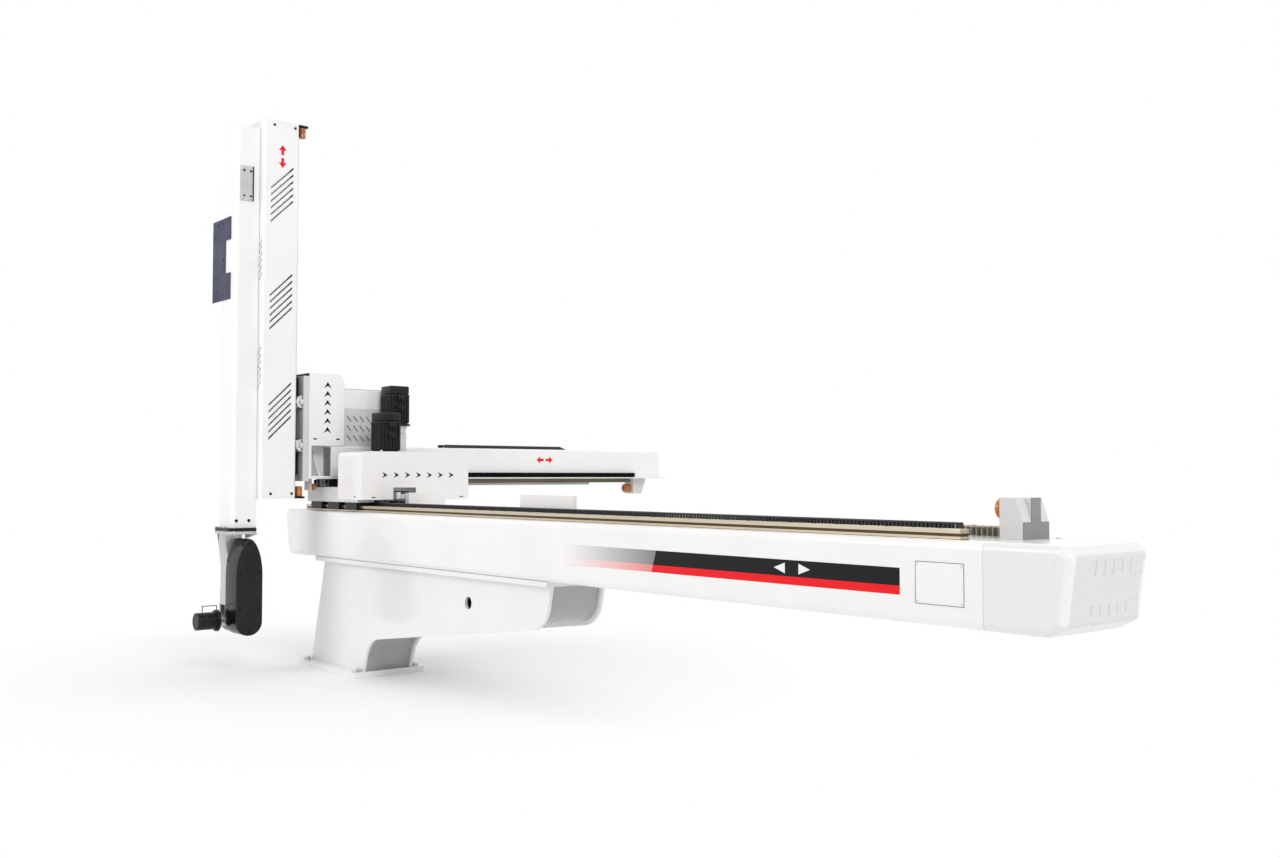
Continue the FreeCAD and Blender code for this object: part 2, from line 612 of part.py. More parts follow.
def make_cable_way():
    duct = profile("YZ", [("near + duct_offset", "beam_top"), ("near + duct_offset + duct_width", "beam_top"),
                          ("near + duct_offset + duct_width", "beam_top + duct_height"),
                          ("near + duct_offset", "beam_top + duct_height")],
                   "beam_left + duct_start", "duct_length")
    pocket(duct, "YZ", [("near + duct_offset + duct_wall", "beam_top + duct_wall"),
                        ("near + duct_offset + duct_width - duct_wall", "beam_top + duct_wall"),
                        ("near + duct_offset + duct_width - duct_wall", "beam_top + duct_height - duct_wall"),
                        ("near + duct_offset + duct_wall", "beam_top + duct_height - duct_wall")])
    keep("cable_duct", duct)
    start, end = "beam_left + chain_start", "beam_left + chain_start + chain_length"
    run = "(chain_height - chain_gap)/2"
    low, high = "beam_top + " + run, "beam_top + " + run + " + chain_gap"
    tight = end + " - " + run
    chain = profile("XZ", [(start, "beam_top"), (end, "beam_top"), (end, "beam_top + chain_height"),
                           (start, "beam_top + chain_height"), (start, high), (tight, high), (tight, low),
                           (start, low)], "near + chain_offset", "chain_width")
    fillet(chain, "chain_height/2 - 0.5",
           corner("y", (end, "beam_top"), (end, "beam_top + chain_height")))
    keep("drag_chain", chain)
    keep("chain_anchor_box", box("beam_left + chain_box_start", "near + duct_offset + duct_width + chain_box_gap", "beam_top",
                                 "chain_box_length", "chain_box_width", "chain_box_height"))


# A block in which a rail runs, open on the rail's side
def guide_outline(middle, base, low, high, width, rail_width, rail_height, side="+"):
    inner = "(" + rail_width + "/2 + rail_clearance)"
    top = base + side + "(" + rail_height + " + rail_clearance)"
    half = width + "/2"
    return [(middle + " - " + half, low), (middle + " - " + inner, low), (middle + " - " + inner, top),
            (middle + " + " + inner, top), (middle + " + " + inner, low), (middle + " + " + half, low),
            (middle + " + " + half, high), (middle + " - " + half, high)]


# End stop with its bumper
def make_traverse_stop():
    start, near_side = "beam_left + stop_start", "near + stop_offset"
    block = profile("XZ", [(start, "beam_top"), (start + " + stop_length", "beam_top"),
                           (start + " + stop_length", "beam_top + stop_shoulder"),
                           (start + " + stop_crown", "beam_top + stop_height"),
                           (start, "beam_top + stop_height")], near_side, "stop_width")
    rib = box(start + " + stop_crown/2", near_side + " + (stop_width - stop_rib)/2", "beam_top + stop_shoulder/2",
              "stop_length - stop_crown/2", "stop_rib", "stop_height - stop_shoulder/2")
    keep("traverse_stop", joined(block, rib))
    disc = rod("x", start + " - bumper_length", near_side + " + stop_width*0.35", "beam_top + bumper_rise",
               "bumper_radius", "bumper_length")
    bore = rod("x", start + " - bumper_length", near_side + " + stop_width*0.35", "beam_top + bumper_rise",
               "bumper_bore", "bumper_length/2")
    keep("traverse_bumper", cut(disc, bore))


# Carriage: six blocks on the rails carry a bridge-shaped saddle
def make_carriage():
    blocks = []
    for middle in ("near_rail_y", "far_rail_y"):
        for step in range(3):
            points = guide_outline(middle, "beam_top", "beam_top + guide_lift", "saddle_bottom", "guide_width",
                                   "rail_width", "rail_height")
            blocks.append(profile("YZ", points, "carriage_left + guide_inset + %d*guide_pitch" % step,
                                  "guide_length"))
    keep("traverse_guide_blocks", group(*blocks))
    half, leg = "carriage_width/2", "(carriage_width/2 - saddle_leg_width)"
    saddle = profile("YZ", [("-" + half, "saddle_bottom"), ("-" + leg, "saddle_bottom"),
                            ("-" + leg, "saddle_underside"), (leg, "saddle_underside"), (leg, "saddle_bottom"),
                            (half, "saddle_bottom"), (half, "saddle_top"), ("-" + half, "saddle_top")],
                     "carriage_left", "carriage_length")
    fillet(saddle, "saddle_corner_radius", corner("x", ("-" + leg, "saddle_underside"), (leg, "saddle_underside")))
    pocket(saddle, "XY", circles=[("traverse_axis_x", "traverse_axis_y", "shaft_radius + 9")])
    keep("carriage_saddle", saddle)


# A square servo motor standing on its gearbox: flange, ribbed body and a stepped cap
def motor(x, y, top, size, length):
    def prism(inset, low, height):
        item = box(x + " - %s/2 + %s" % (size, inset), y + " - %s/2 + %s" % (size, inset), low,
                   size + " - 2*" + inset, size + " - 2*" + inset, height)
        return rounded(item, "motor_edge_radius", along("z"))
    bottom = "(" + top + " - " + length + ")"
    flange = prism("0", bottom, "motor_flange_thickness")
    body = prism("motor_cap_inset/2", bottom + " + motor_flange_thickness",
                 length + " - motor_flange_thickness - motor_cap_length")
    cap = prism("motor_cap_inset", top + " - motor_cap_length", "motor_cap_length")
    return joined(flange, body, cap)


def gearbox(x, y, low, high):
    body = rounded(box(x + " - gearbox_size/2", y + " - gearbox_size/2", low, "gearbox_size", "gearbox_size",
                       "(" + high + ") - (" + low + ")"), "gearbox_edge_radius", along("z"))
    bore = rod("z", x, y, low, "shaft_radius + pinion_bore_clearance", "2*shaft_radius")
    return cut(body, bore)


def pinion(x, y, low, module, turn, shaft_top):
    gear = shaped(solid_of(pinion_points(NUMBERS[module], turn), NUMBERS["pinion_thickness"]), x, y, low)
    shaft = rod("z", x, y, low, "shaft_radius", "(" + shaft_top + ") - (" + low + ")")
    return joined(gear, shaft)


def make_drives():
    top = "beam_top + traverse_motor_top"
    low = "saddle_top"
    upright = gearbox("traverse_axis_x", "traverse_axis_y", low, top + " - motor_length")
    keep("traverse_motor", motor("traverse_axis_x", "traverse_axis_y", top, "motor_size", "motor_length"))
    keep("traverse_pinion", pinion("traverse_axis_x", "traverse_axis_y", "beam_top + 2", "rack_module",
                                   math.pi / 2 + math.pi / NUMBERS["pinion_teeth"], low + " + 1.8*shaft_radius"))
    top = "beam_top + cross_motor_top"
    low = "beam_top + cross_gearbox_bottom"
    raised = gearbox("cross_axis_x", "cross_axis_y", low, top + " - motor_length")
    keep("servo_gearboxes", group(upright, raised))
    keep("crosswise_motor", motor("cross_axis_x", "cross_axis_y", top, "motor_size", "motor_length"))
    keep("crosswise_pinion", pinion("cross_axis_x", "cross_axis_y", "cross_rack_bottom + 1", "cross_rack_module",
                                    math.pi + math.pi / NUMBERS["pinion_teeth"], low + " + 1.8*shaft_radius"))
    post = "cross_axis_x + cross_pitch_radius + cross_rack_module + 3"
    seat = "cross_axis_x - gearbox_size/2"
    bracket = profile("XZ", [(post, "saddle_top"), (post + " + bracket_wall", "saddle_top"),
                             (post + " + bracket_wall", low), (seat, low), (seat, low + " - bracket_wall*0.75"),
                             (post, low + " - bracket_wall*0.75")],
                      "cross_axis_y - gearbox_size/2", "gearbox_size")
    pocket(bracket, "XY", circles=[("cross_axis_x", "cross_axis_y", "shaft_radius + 3")])
    keep("crosswise_bracket", bracket)


# Sheet cover over the carriage drive, open below and towards the crosswise beam
def make_carriage_cover():
    outer = rounded(box("cover_x", "cover_y", "cover_z", "cover_length_x", "cover_length_y", "cover_height"),
                    "cover_corner_radius",
                    lambda middle, run, edge: abs(run[0]) > 0.999 and middle.z > value("cover_z + 9")
                    and middle.y < value("cover_y + 9"))
    inner = rounded(box("cover_x - cover_wall", "cover_y + cover_wall", "cover_z - cover_wall", "cover_length_x",
                        "cover_length_y - 2*cover_wall", "cover_height"), "cover_corner_radius - cover_wall",
                    lambda middle, run, edge: abs(run[0]) > 0.999 and middle.z > value("cover_z + 9")
                    and middle.y < value("cover_y + cover_wall + 9"))
    window = box("cover_x", "near + cover_window_start", "cover_z", "cover_length_x + cover_wall",
                 "cover_window_width", "cover_window_height")
    gap = "(motor_size + 2*cover_hole_clearance)"
    hole = box("traverse_axis_x - %s/2" % gap, "traverse_axis_y - %s/2" % gap, "cover_z + cover_height/2", gap, gap,
               "cover_height")
    keep("carriage_cover", cut(outer, inner, window, hole))
    keep("cable_box", rounded(box("cover_x + cover_length_x", "near + tray_start_y", "beam_top + rail_height + rail_clearance*6",
                                  "tray_width", "tray_length", "tray_height"), "rail_waist", along("y")))


# Blocks on the saddle in which the crosswise rails run
def make_crosswise_guides():
    blocks = []
    for sign in ("-", "+"):
        middle = "(cross_middle " + sign + " cross_rail_pitch/2)"
        points = guide_outline(middle, "cross_flange_bottom", "cross_flange_bottom - rail_clearance*8",
                               "saddle_top", "cross_block_width", "cross_rail_width", "cross_rail_height", "-")
        for step in range(2):
            blocks.append(profile("XZ", points, "near + cross_block_start + %d*cross_block_pitch" % step,
                                  "cross_block_length"))
    keep("crosswise_guide_blocks", group(*blocks))


# Crosswise beam: a tube on a flange, with rails, rack, stops and drag chain
def make_crosswise_beam():
    def frame(inset):
        left, right = "cross_left + " + inset, "cross_right - (%s)" % inset
        low, high = "cross_bottom + " + inset, "cross_top - (%s)" % inset
        return [(left, low), (right, low), (right, high), (left, high)]
    tube = profile("XZ", frame("0"), "cross_start_y", "cross_length")
    fillet(tube, "cross_corner_radius", along("y"))
    pocket(tube, "XZ", frame("cross_wall"))
    flange = box("cross_middle - cross_flange_width/2", "cross_start_y", "cross_flange_bottom",
                 "cross_flange_width", "cross_length + cross_cap_length + cross_flange_extra",
                 "cross_flange_thickness")
    keep("crosswise_beam", joined(tube, flange))
    cap = rounded(box("cross_left", "cross_end_y", "cross_bottom", "cross_width", "cross_cap_length",
                      "cross_height"), "cross_corner_radius",
                  lambda middle, run, edge: middle.y > value("cross_end_y + 1") and middle.z > value("cross_bottom + 1"))
    hollow = box("cross_left + cross_wall", "cross_end_y", "cross_bottom + cross_wall",
                 "cross_width - 2*cross_wall", "cross_cap_length - cross_wall", "cross_height - 2*cross_wall")
    keep("crosswise_end_cap", cut(cap, hollow))
    rails = [box("cross_middle %s cross_rail_pitch/2 - cross_rail_width/2" % sign, "cross_start_y",
                 "cross_flange_bottom - cross_rail_height", "cross_rail_width", "cross_length - cross_rail_end_gap",
                 "cross_rail_height") for sign in ("-", "+")]
    keep("crosswise_rails", group(*rails))
    start, end = value("near + cross_rack_start"), value("cross_end_y")
    points = rack_face(start, end, value("cross_rack_tip_x"), value("cross_right"),
                       NUMBERS["cross_rack_module"], value("cross_axis_y"))
    rack = solid_of([(across, run) for run, across in points], NUMBERS["cross_rack_height"])
    keep("crosswise_rack", shaped(rack, "0", "0", "cross_rack_bottom"))
    channel = profile("XZ", [("cross_middle - channel_width/2", "cross_flange_bottom"),
                             ("cross_middle - channel_width/2", "cross_flange_bottom - channel_height"),
                             ("cross_middle + channel_width/2", "cross_flange_bottom - channel_height"),
                             ("cross_middle + channel_width/2", "cross_flange_bottom"),
                             ("cross_middle + channel_width/2 - channel_wall", "cross_flange_bottom"),
                             ("cross_middle + channel_width/2 - channel_wall",
                              "cross_flange_bottom - channel_height + channel_wall"),
                             ("cross_middle - channel_width/2 + channel_wall",
                              "cross_flange_bottom - channel_height + channel_wall"),
                             ("cross_middle - channel_width/2 + channel_wall", "cross_flange_bottom")],
                      "cross_start_y", "channel_length")
    keep("underside_channel", channel)


def make_crosswise_stops():
    face = "near + cross_stop_y"
    drop = "cross_flange_bottom - cross_stop_height"
    far = profile("YZ", [(face, drop), (face + " + 4*cross_stop_thickness", drop),
                         (face + " + 6*cross_stop_thickness", "cross_flange_bottom"),
                         (face, "cross_flange_bottom")], "cross_middle - cross_stop_width/2", "cross_stop_width")
    post = "near - cross_start"
    low = "saddle_top - near_bumper_radius"
    close = box("cross_middle - near_bumper_radius*1.5", post + " - cross_stop_thickness", low,
                "near_bumper_radius*3", "cross_stop_thickness", "cross_flange_bottom - (%s)" % low)
    keep("crosswise_stops", group(far, close))
    big = rod("y", "cross_middle", face + " - cross_bumper_length", "cross_flange_bottom - cross_bumper_drop",
              "cross_bumper_radius", "cross_bumper_length")
    small = rod("y", "cross_middle", post, low + " + near_bumper_radius", "near_bumper_radius",
                "near_bumper_length")
    keep("crosswise_bumpers", group(big, small))
    start, end = "near + top_chain_start", "near + top_chain_start + top_chain_length"
    chain = profile("YZ", [(start, "cross_top"), (end, "cross_top"),
                           (end + " - 2.5*top_chain_height", "cross_top + top_chain_height"),
                           (start, "cross_top + top_chain_height")],
                    "cross_middle - top_chain_width/2", "top_chain_width")
    keep("top_drag_chain", chain)


# Head at the near end of the crosswise beam
def make_head():
    wall = "bracket_wall"
    start = "head_plate_far_y"
    depth = "(cross_start_y - head_plate_far_y)"
    plates = [box("cross_left", start, "cross_flange_bottom", "cross_width", wall,
                  "cross_top + bracket_wall - 2 - cross_flange_bottom"),
              box("cross_left", start, "cross_flange_bottom", "cross_width", depth, wall),
              box("cross_left", start, "cross_top", "cross_width", depth + " + 5*bracket_wall", wall + " - 2"),
              box("cross_middle - bracket_wall/2", start, "cross_flange_bottom", wall, depth,
                  "cross_top - cross_flange_bottom + 2")]
    gusset = profile("XZ", [("cross_middle", "cross_flange_bottom + bracket_wall"),
                            ("cross_right - 2", "cross_flange_bottom + bracket_wall"),
                            ("cross_middle", "cross_top - bracket_wall")],
                     "head_plate_far_y + %s" % depth + "/2 - 3", "6")
    keep("head_bracket", joined(*plates, gusset))
    plate = box("head_x", "head_plate_near_y", "head_plate_bottom", "head_width", "head_plate_thickness",
                "head_plate_height")
    reach = "(idler_length/2 + ear_gap)"
    ears, slots = [], []
    for z in ("low_idler_z", "high_idler_z"):
        for x in ("belt_x - %s - ear_thickness" % reach, "belt_x + " + reach):
            ears.append(box(x, "idler_y - ear_height/2", z + " - ear_height/2", "ear_thickness", "ear_height",
                            "ear_height"))
        slots.append(box("belt_x - " + reach, "head_plate_near_y", z + " - idler_radius - 3", "2*" + reach,
                         "head_plate_thickness + 1", "2*idler_radius + 6"))
        slots.append(rod("x", "belt_x - %s - ear_thickness" % reach, "idler_y", z,
                         "idler_axle_radius + pinion_bore_clearance", "2*%s + 2*ear_thickness" % reach))
    keep("head_plate", cut(joined(plate, *ears), *slots))
    blocks = []
    for sign in ("-", "+"):
        middle = "(arm_rail_middle %s arm_rail_pitch/2)" % sign
        points = guide_outline(middle, "arm_far_y", "head_plate_near_y - arm_block_depth", "head_plate_near_y",
                               "arm_block_width", "arm_rail_width", "arm_rail_height")
        for low in ("arm_block_low", "arm_block_high"):
            blocks.append(profile("XY", points, "head_plate_bottom + " + low, "arm_block_length"))
    keep("arm_guide_blocks", group(*blocks))


def make_head_covers():
    low = "head_cover_bottom"
    far = "head_plate_far_y + head_cover_depth"
    outer = rounded(box("cross_left", "head_plate_far_y", low, "cross_width", "head_cover_depth",
                        "head_cover_height"), "head_cover_radius",
                    lambda middle, run, edge: abs(run[0]) > 0.999 and middle.y > value(far + " - 1")
                    and middle.z > value(low + " + 9"))
    inner = rounded(box("cross_left + cover_wall", "head_plate_far_y - cover_wall", low + " - cover_wall",
                        "cross_width - 2*cover_wall", "head_cover_depth", "head_cover_height"),
                    "head_cover_radius - cover_wall",
                    lambda middle, run, edge: abs(run[0]) > 0.999 and middle.y > value(far + " - cover_wall - 1")
                    and middle.z > value(low + " + 9"))
    neck = box("cross_middle - lift_neck/2", far + " - 2*cover_wall", "pulley_z - lift_neck/2", "lift_neck",
               "rear_cover_gap + 5*cover_wall", "lift_neck")
    keep("head_cover", cut(outer, inner, neck))
    start = far + " + rear_cover_gap"
    left = "cross_left + cover_wall"
    outer = rounded(box(left, start, "cross_top", "rear_cover_width", "rear_cover_length", "rear_cover_height"),
                    "motor_edge_radius", lambda middle, run, edge: middle.z > value("cross_top + 9")
                    and abs(run[1]) > 0.999)
    inner = box(left + " + cover_wall", start + " + cover_wall", "cross_top - cover_wall",
                "rear_cover_width - 2*cover_wall", "rear_cover_length - 2*cover_wall", "rear_cover_height")
    neck = box("cross_middle - lift_neck/2", start + " - cover_wall",
               "pulley_z - lift_neck/2", "lift_neck", "3*cover_wall", "lift_neck")
    vents = []
    for line in range(3):
        for column in range(6):
            y = start + " + vent_pitch*0.6 + %d*vent_pitch" % column
            z = "cross_top + vent_pitch*0.8 + %d*vent_pitch*1.4" % line
            vents.append(profile("YZ", [(y, z + " + vent_length"), (y + " + vent_length*0.8", z),
                                        (y + " + vent_length*0.8 + vent_width", z),
                                        (y + " + vent_width", z + " + vent_length")],
                                 left + " + rear_cover_width - 2*cover_wall", "3*cover_wall"))
    keep("rear_cover", cut(outer, inner, neck, *vents))


# Drive of the vertical arm: a motor lying along the beam turns the belt pulley through a gearbox
def make_lift_drive():
    low = "pulley_z - lift_box/2"
    box_x = "belt_x - pulley_length/2 - ear_gap - lift_box"
    case = rounded(box(box_x, "pulley_y - lift_box/2", low, "lift_box", "lift_box", "lift_box"),
                   "gearbox_edge_radius", along("x"))
    bore = rod("x", box_x + " + lift_box - 2*shaft_radius", "pulley_y", "pulley_z",
               "shaft_radius + pinion_bore_clearance", "2*shaft_radius")
    base = box(box_x, "pulley_y - lift_box/2", "head_cover_bottom", "lift_box", "lift_box",
               low + " - head_cover_bottom")
    body = rod("y", "cross_middle", "pulley_y + lift_box/2", "pulley_z", "lift_neck/2 - cover_hole_clearance",
               "lift_motor_length")
    keep("lift_drive", joined(cut(case, bore), base, body))
    wheel = rod("x", "belt_x - pulley_length/2", "pulley_y", "pulley_z", "pulley_radius", "pulley_length")
    shaft = rod("x", "belt_x - pulley_length/2 - ear_gap - 1.8*shaft_radius", "pulley_y", "pulley_z",
                "shaft_radius", "pulley_length/2 + 1.8*shaft_radius")
    keep("drive_pulley", joined(wheel, shaft))
    for name, z in (("low_idler", "low_idler_z"), ("high_idler", "high_idler_z")):
        wheel = rod("x", "belt_x - idler_length/2", "idler_y", z, "idler_radius", "idler_length")
        axle = rod("x", "belt_x - idler_length/2 - ear_gap - ear_thickness", "idler_y", z, "idler_axle_radius",
                   "idler_length + 2*ear_gap + 2*ear_thickness")
        keep(name, joined(wheel, axle))


# Vertical arm, first stage: an inner profile in a slotted sheet cover, with rails and belt on its far side
def make_arm():
    low, high = "arm_z + bumper_base_thickness", "arm_top - bumper_base_thickness"
    height = "arm_length - 2*bumper_base_thickness"
    outer = rounded(box("head_x", "arm_near_y", low, "head_width", "arm_depth", height), "arm_corner_radius",
                    along("z"))
    inner = rounded(box("head_x + arm_cover_wall", "arm_near_y + arm_cover_wall", low + " - arm_cover_wall",
                        "head_width - 2*arm_cover_wall", "arm_depth - 2*arm_cover_wall",
                        height + " + 2*arm_cover_wall"), "arm_corner_radius - arm_cover_wall", along("z"))
    slots = []
    for group_low in ("slot_low", "slot_middle", "slot_high"):
        for step in range(int(NUMBERS["slots_per_group"])):
            left, right = "arm_near_y + slot_inset", "arm_near_y + slot_inset + slot_reach"
            z = "arm_z + %s + %d*slot_pitch" % (group_low, step)
            slots.append(profile("YZ", [(left, z), (right, z + " + slot_rise"),
                                        (right, z + " + slot_rise + slot_width*1.4"),
                                        (left, z + " + slot_width*1.4")],
                                 "head_right - 2*arm_cover_wall", "3*arm_cover_wall"))
    for group_low in ("front_slot_low", "front_slot_high"):
        for step in range(int(NUMBERS["slots_per_group"])):
            left, right = "slide_x + slide_width + 7 - front_slot_reach/2", "head_right - arm_corner_radius"
            z = "arm_z + %s + %d*slot_pitch" % (group_low, step)
            slots.append(profile("XZ", [(left, z), (right, z + " + front_slot_rise"),
                                        (right, z + " + front_slot_rise + slot_width*1.4"),
                                        (left, z + " + slot_width*1.4")],
                                 "arm_near_y - arm_cover_wall", "3*arm_cover_wall"))
    keep("arm_cover", cut(outer, inner, *slots))
    core = box("head_x + arm_core_inset", "arm_near_y + arm_cover_wall", low,
               "head_width - 2*arm_core_inset", "arm_depth - 2*arm_cover_wall", height)
    bore = box("head_x + arm_core_inset + arm_core_wall", "arm_near_y + arm_cover_wall + arm_core_wall",
               low + " - 1", "head_width - 2*arm_core_inset - 2*arm_core_wall",
               "arm_depth - 2*arm_cover_wall - 2*arm_core_wall", height + " + 2")
    keep("arm_core", cut(core, bore))
    rails = [box("arm_rail_middle %s arm_rail_pitch/2 - arm_rail_width/2" % sign, "arm_far_y", low, "arm_rail_width",
                 "arm_rail_height", height) for sign in ("-", "+")]
    keep("arm_rails", group(*rails))
    clamps = [box("belt_x - belt_width/2 - 5", "arm_far_y", z, "belt_width + 10", "belt_clamp_depth",
                  "belt_clamp_height") for z in (low, high + " - belt_clamp_height")]
    strip = box("belt_x - belt_width/2", "arm_far_y", low + " + belt_clamp_height", "belt_width",
                "belt_thickness", height + " - 2*belt_clamp_height")
    keep("arm_belt", joined(strip, *clamps))
    plates = [rounded(box("head_x", "arm_near_y", z, "head_width", "arm_depth", "bumper_base_thickness"),
                      "arm_corner_radius", along("z")) for z in ("arm_z", high)]
    keep("arm_end_plates", group(*plates))
    bumper_y = "arm_far_y + belt_clamp_depth + 1 + arm_bumper_radius"
    half = "(arm_bumper_radius + bumper_bracket_margin)"
    bumpers = []
    for plate_z, z in (("arm_z", low), (high, high + " - arm_bumper_length")):
        bracket = box("belt_x - " + half, "arm_far_y", plate_z, "2*" + half,
                      "belt_clamp_depth + 1 + arm_bumper_radius + " + half, "bumper_base_thickness")
        bumpers.append(joined(rod("z", "belt_x", bumper_y, z, "arm_bumper_radius", "arm_bumper_length"), bracket))
    keep("arm_bumpers", group(*bumpers))
    blocks = []
    for sign in ("-", "+"):
        middle = "(slide_middle %s slide_rail_pitch/2)" % sign
        points = guide_outline(middle, "slide_far_y", "arm_near_y - slide_block_depth", "arm_near_y",
                               "slide_block_width", "slide_rail_width", "slide_rail_height")
        for rise in ("slide_block_low", "slide_block_high"):
            blocks.append(profile("XY", points, "arm_z + " + rise, "slide_block_length"))
    keep("slide_guide_blocks", group(*blocks))


# Vertical arm, second stage: a rounded tube that slides in front of the first
def make_slide():
    def frame(inset):
        left, right = "slide_x + " + inset, "slide_x + slide_width - (%s)" % inset
        front, back = "slide_near_y + " + inset, "slide_far_y - (%s)" % inset
        return [(left, front), (right, front), (right, back), (left, back)]
    tube = profile("XY", frame("0"), "slide_z", "slide_length")
    fillet(tube, "slide_corner_radius",
           lambda middle, run, item: abs(run[2]) > 0.999 and middle.y < value("slide_middle_y"))
    pocket(tube, "XY", frame("slide_wall"))
    skirts = [box(x, "slide_far_y", "slide_z", "slide_wall", "slide_gap - skirt_clearance", "slide_length")
              for x in ("slide_x", "slide_x + slide_width - slide_wall")]
    keep("slide_tube", joined(tube, *skirts))
    rails = [box("slide_middle %s slide_rail_pitch/2 - slide_rail_width/2" % sign, "slide_far_y",
                 "slide_z + ring_margin", "slide_rail_width", "slide_rail_height", "slide_length - 2*ring_margin")
             for sign in ("-", "+")]
    keep("slide_rails", group(*rails))
    ring = rounded(box("slide_x - ring_margin", "slide_near_y - ring_margin", "ring_z",
                       "slide_width + 2*ring_margin", "slide_depth + 2*ring_margin", "ring_thickness"),
                   "ring_corner_radius", along("z"))
    keep("ring_flange", ring)
    plate_y = "slide_near_y + slide_corner_radius"
    plate_z = "slide_z + slide_length - joint_plate_drop"
    plate_width = "(slide_depth - 2*slide_corner_radius)"
    plate = box("slide_x + slide_width", plate_y, plate_z, "joint_plate_thickness", plate_width,
                "joint_plate_height")
    screws = []
    for y in (plate_y + " + 2*screw_head_radius", plate_y + " + " + plate_width + " - 2*screw_head_radius"):
        for z in (plate_z + " + 2*screw_head_radius", plate_z + " + joint_plate_height - 2*screw_head_radius"):
            screws.append(rod("x", "slide_x + slide_width + joint_plate_thickness", y, z, "screw_head_radius",
                              "screw_head_height"))
    keep("joint_plate", joined(plate, *screws))
    right = "slide_x + 99"
    left = right + " - valve_plate_width"
    low = "slide_z + valve_plate_rise"
    notch = low + " + valve_plate_height*0.32"
    valve = profile("XZ", [(left, low), (right, low), (right, notch), (right + " - valve_plate_notch", notch),
                           (right + " - valve_plate_notch", notch + " + valve_plate_notch_height"),
                           (right, notch + " + valve_plate_notch_height"), (right, low + " + valve_plate_height"),
                           (left, low + " + valve_plate_height")],
                    "slide_near_y - valve_plate_thickness", "valve_plate_thickness",
                    [("slide_x + " + u, low + " + valve_plate_height*" + v, "screw_head_radius")
                     for u in ("22", "-28") for v in ("0.06", "0.5", "0.94")])
    keep("valve_plate", valve)


# Wrist: a cast fork under the slide, with side covers
def make_wrist():
    near, far = "axis_y - wrist_depth/2", "axis_y + wrist_depth/2"
    fork = profile("YZ", [(near, "axis_z - wrist_depth/2"), (far, "axis_z - wrist_depth/2"),
                          (far, "ring_z - neck_height"), (near, "ring_z - neck_height")], "wrist_x", "wrist_width")
    fillet(fork, "wrist_depth/2 - 1", corner("x", (near, "axis_z - wrist_depth/2"),
                                             (far, "axis_z - wrist_depth/2")))
    neck = document.addObject("Part::Loft", "Neck")
    sections = []
    for z, left, front, back in (("ring_z - neck_height", "wrist_x", near, far),
                                 ("ring_z - wrist_plate", "slide_x - ring_margin + neck_inset",
                                  "slide_near_y - ring_margin + neck_inset",
                                  "slide_far_y + ring_margin - neck_inset")):
        sketch = document.addObject("Sketcher::SketchObject", "Section")
        outline(sketch, [(left, front), ("wrist_right", front), ("wrist_right", back), (left, back)])
        bind(sketch, "Placement.Base.z", z)
        sections.append(sketch)
    neck.Sections = sections
    neck.Solid = True
    neck.Ruled = True
    inner_x, gap = "wrist_x + fork_wall", "wrist_width - 2*fork_wall"
    mouth = box(inner_x, near + " - 1", "axis_z - wrist_depth/2 - 1", gap, "wrist_depth + 2",
                "wrist_depth/2 + 1 + wrist_neck")
    bore = rod("x", "wrist_x", "axis_y", "axis_z", "wrist_axle_radius + pinion_bore_clearance", "wrist_width")
    plate = rounded(box("slide_x - ring_margin", "slide_near_y - ring_margin", "ring_z - wrist_plate",
                        "slide_width + 2*ring_margin", "slide_depth + 2*ring_margin", "wrist_plate"),
                    "ring_corner_radius", along("z"))
    flare = profile("XZ", [("wrist_right", "ring_z - wrist_plate"), ("wrist_right", "ring_z - 3*wrist_plate"),
                           ("slide_x + slide_width", "ring_z - wrist_plate")],
                    "axis_y + wrist_depth/2 - 2*fork_wall", "fork_wall")
    keep("wrist_housing", joined(cut(fork, mouth, bore), neck, plate, flare))
    centre_z = "belt_cover_centre"

    def tangent(side, radius, z):
        return ("axis_y %s %s*(1 - belt_cover_lean*belt_cover_lean/2)" % (side, radius),
                "%s + %s*belt_cover_lean" % (z, radius))
    body = profile("YZ", [tangent("-", "belt_cover_radius", "shoulder_z"),
                          tangent("+", "belt_cover_radius", "shoulder_z"),
                          tangent("+", "belt_cover_top_radius", centre_z),
                          tangent("-", "belt_cover_top_radius", centre_z)], "wrist_right", "belt_cover_thickness")
    straight = box("wrist_right", "axis_y - belt_cover_radius", "axis_z", "belt_cover_thickness",
                   "2*belt_cover_radius", "belt_cover_shoulder")
    shoulder = rod("x", "wrist_right", "axis_y", "shoulder_z", "belt_cover_radius", "belt_cover_thickness")
    big = rod("x", "wrist_right", "axis_y", "axis_z", "belt_cover_radius", "belt_cover_thickness")
    small = rod("x", "wrist_right", "axis_y", centre_z, "belt_cover_top_radius", "belt_cover_thickness")
    keep("wrist_belt_cover", joined(body, straight, shoulder, big, small))
    disc = rod("x", "wrist_x - side_cover_thickness", "axis_y", "axis_z", "wrist_depth/2 - 4",
               "side_cover_thickness")
    slab = box("wrist_x - side_cover_thickness", "axis_y - wrist_depth/2 + 8", "axis_z", "side_cover_thickness",
               "wrist_depth - 16", "wrist_neck*2")
    keep("wrist_side_cover", joined(disc, slab))


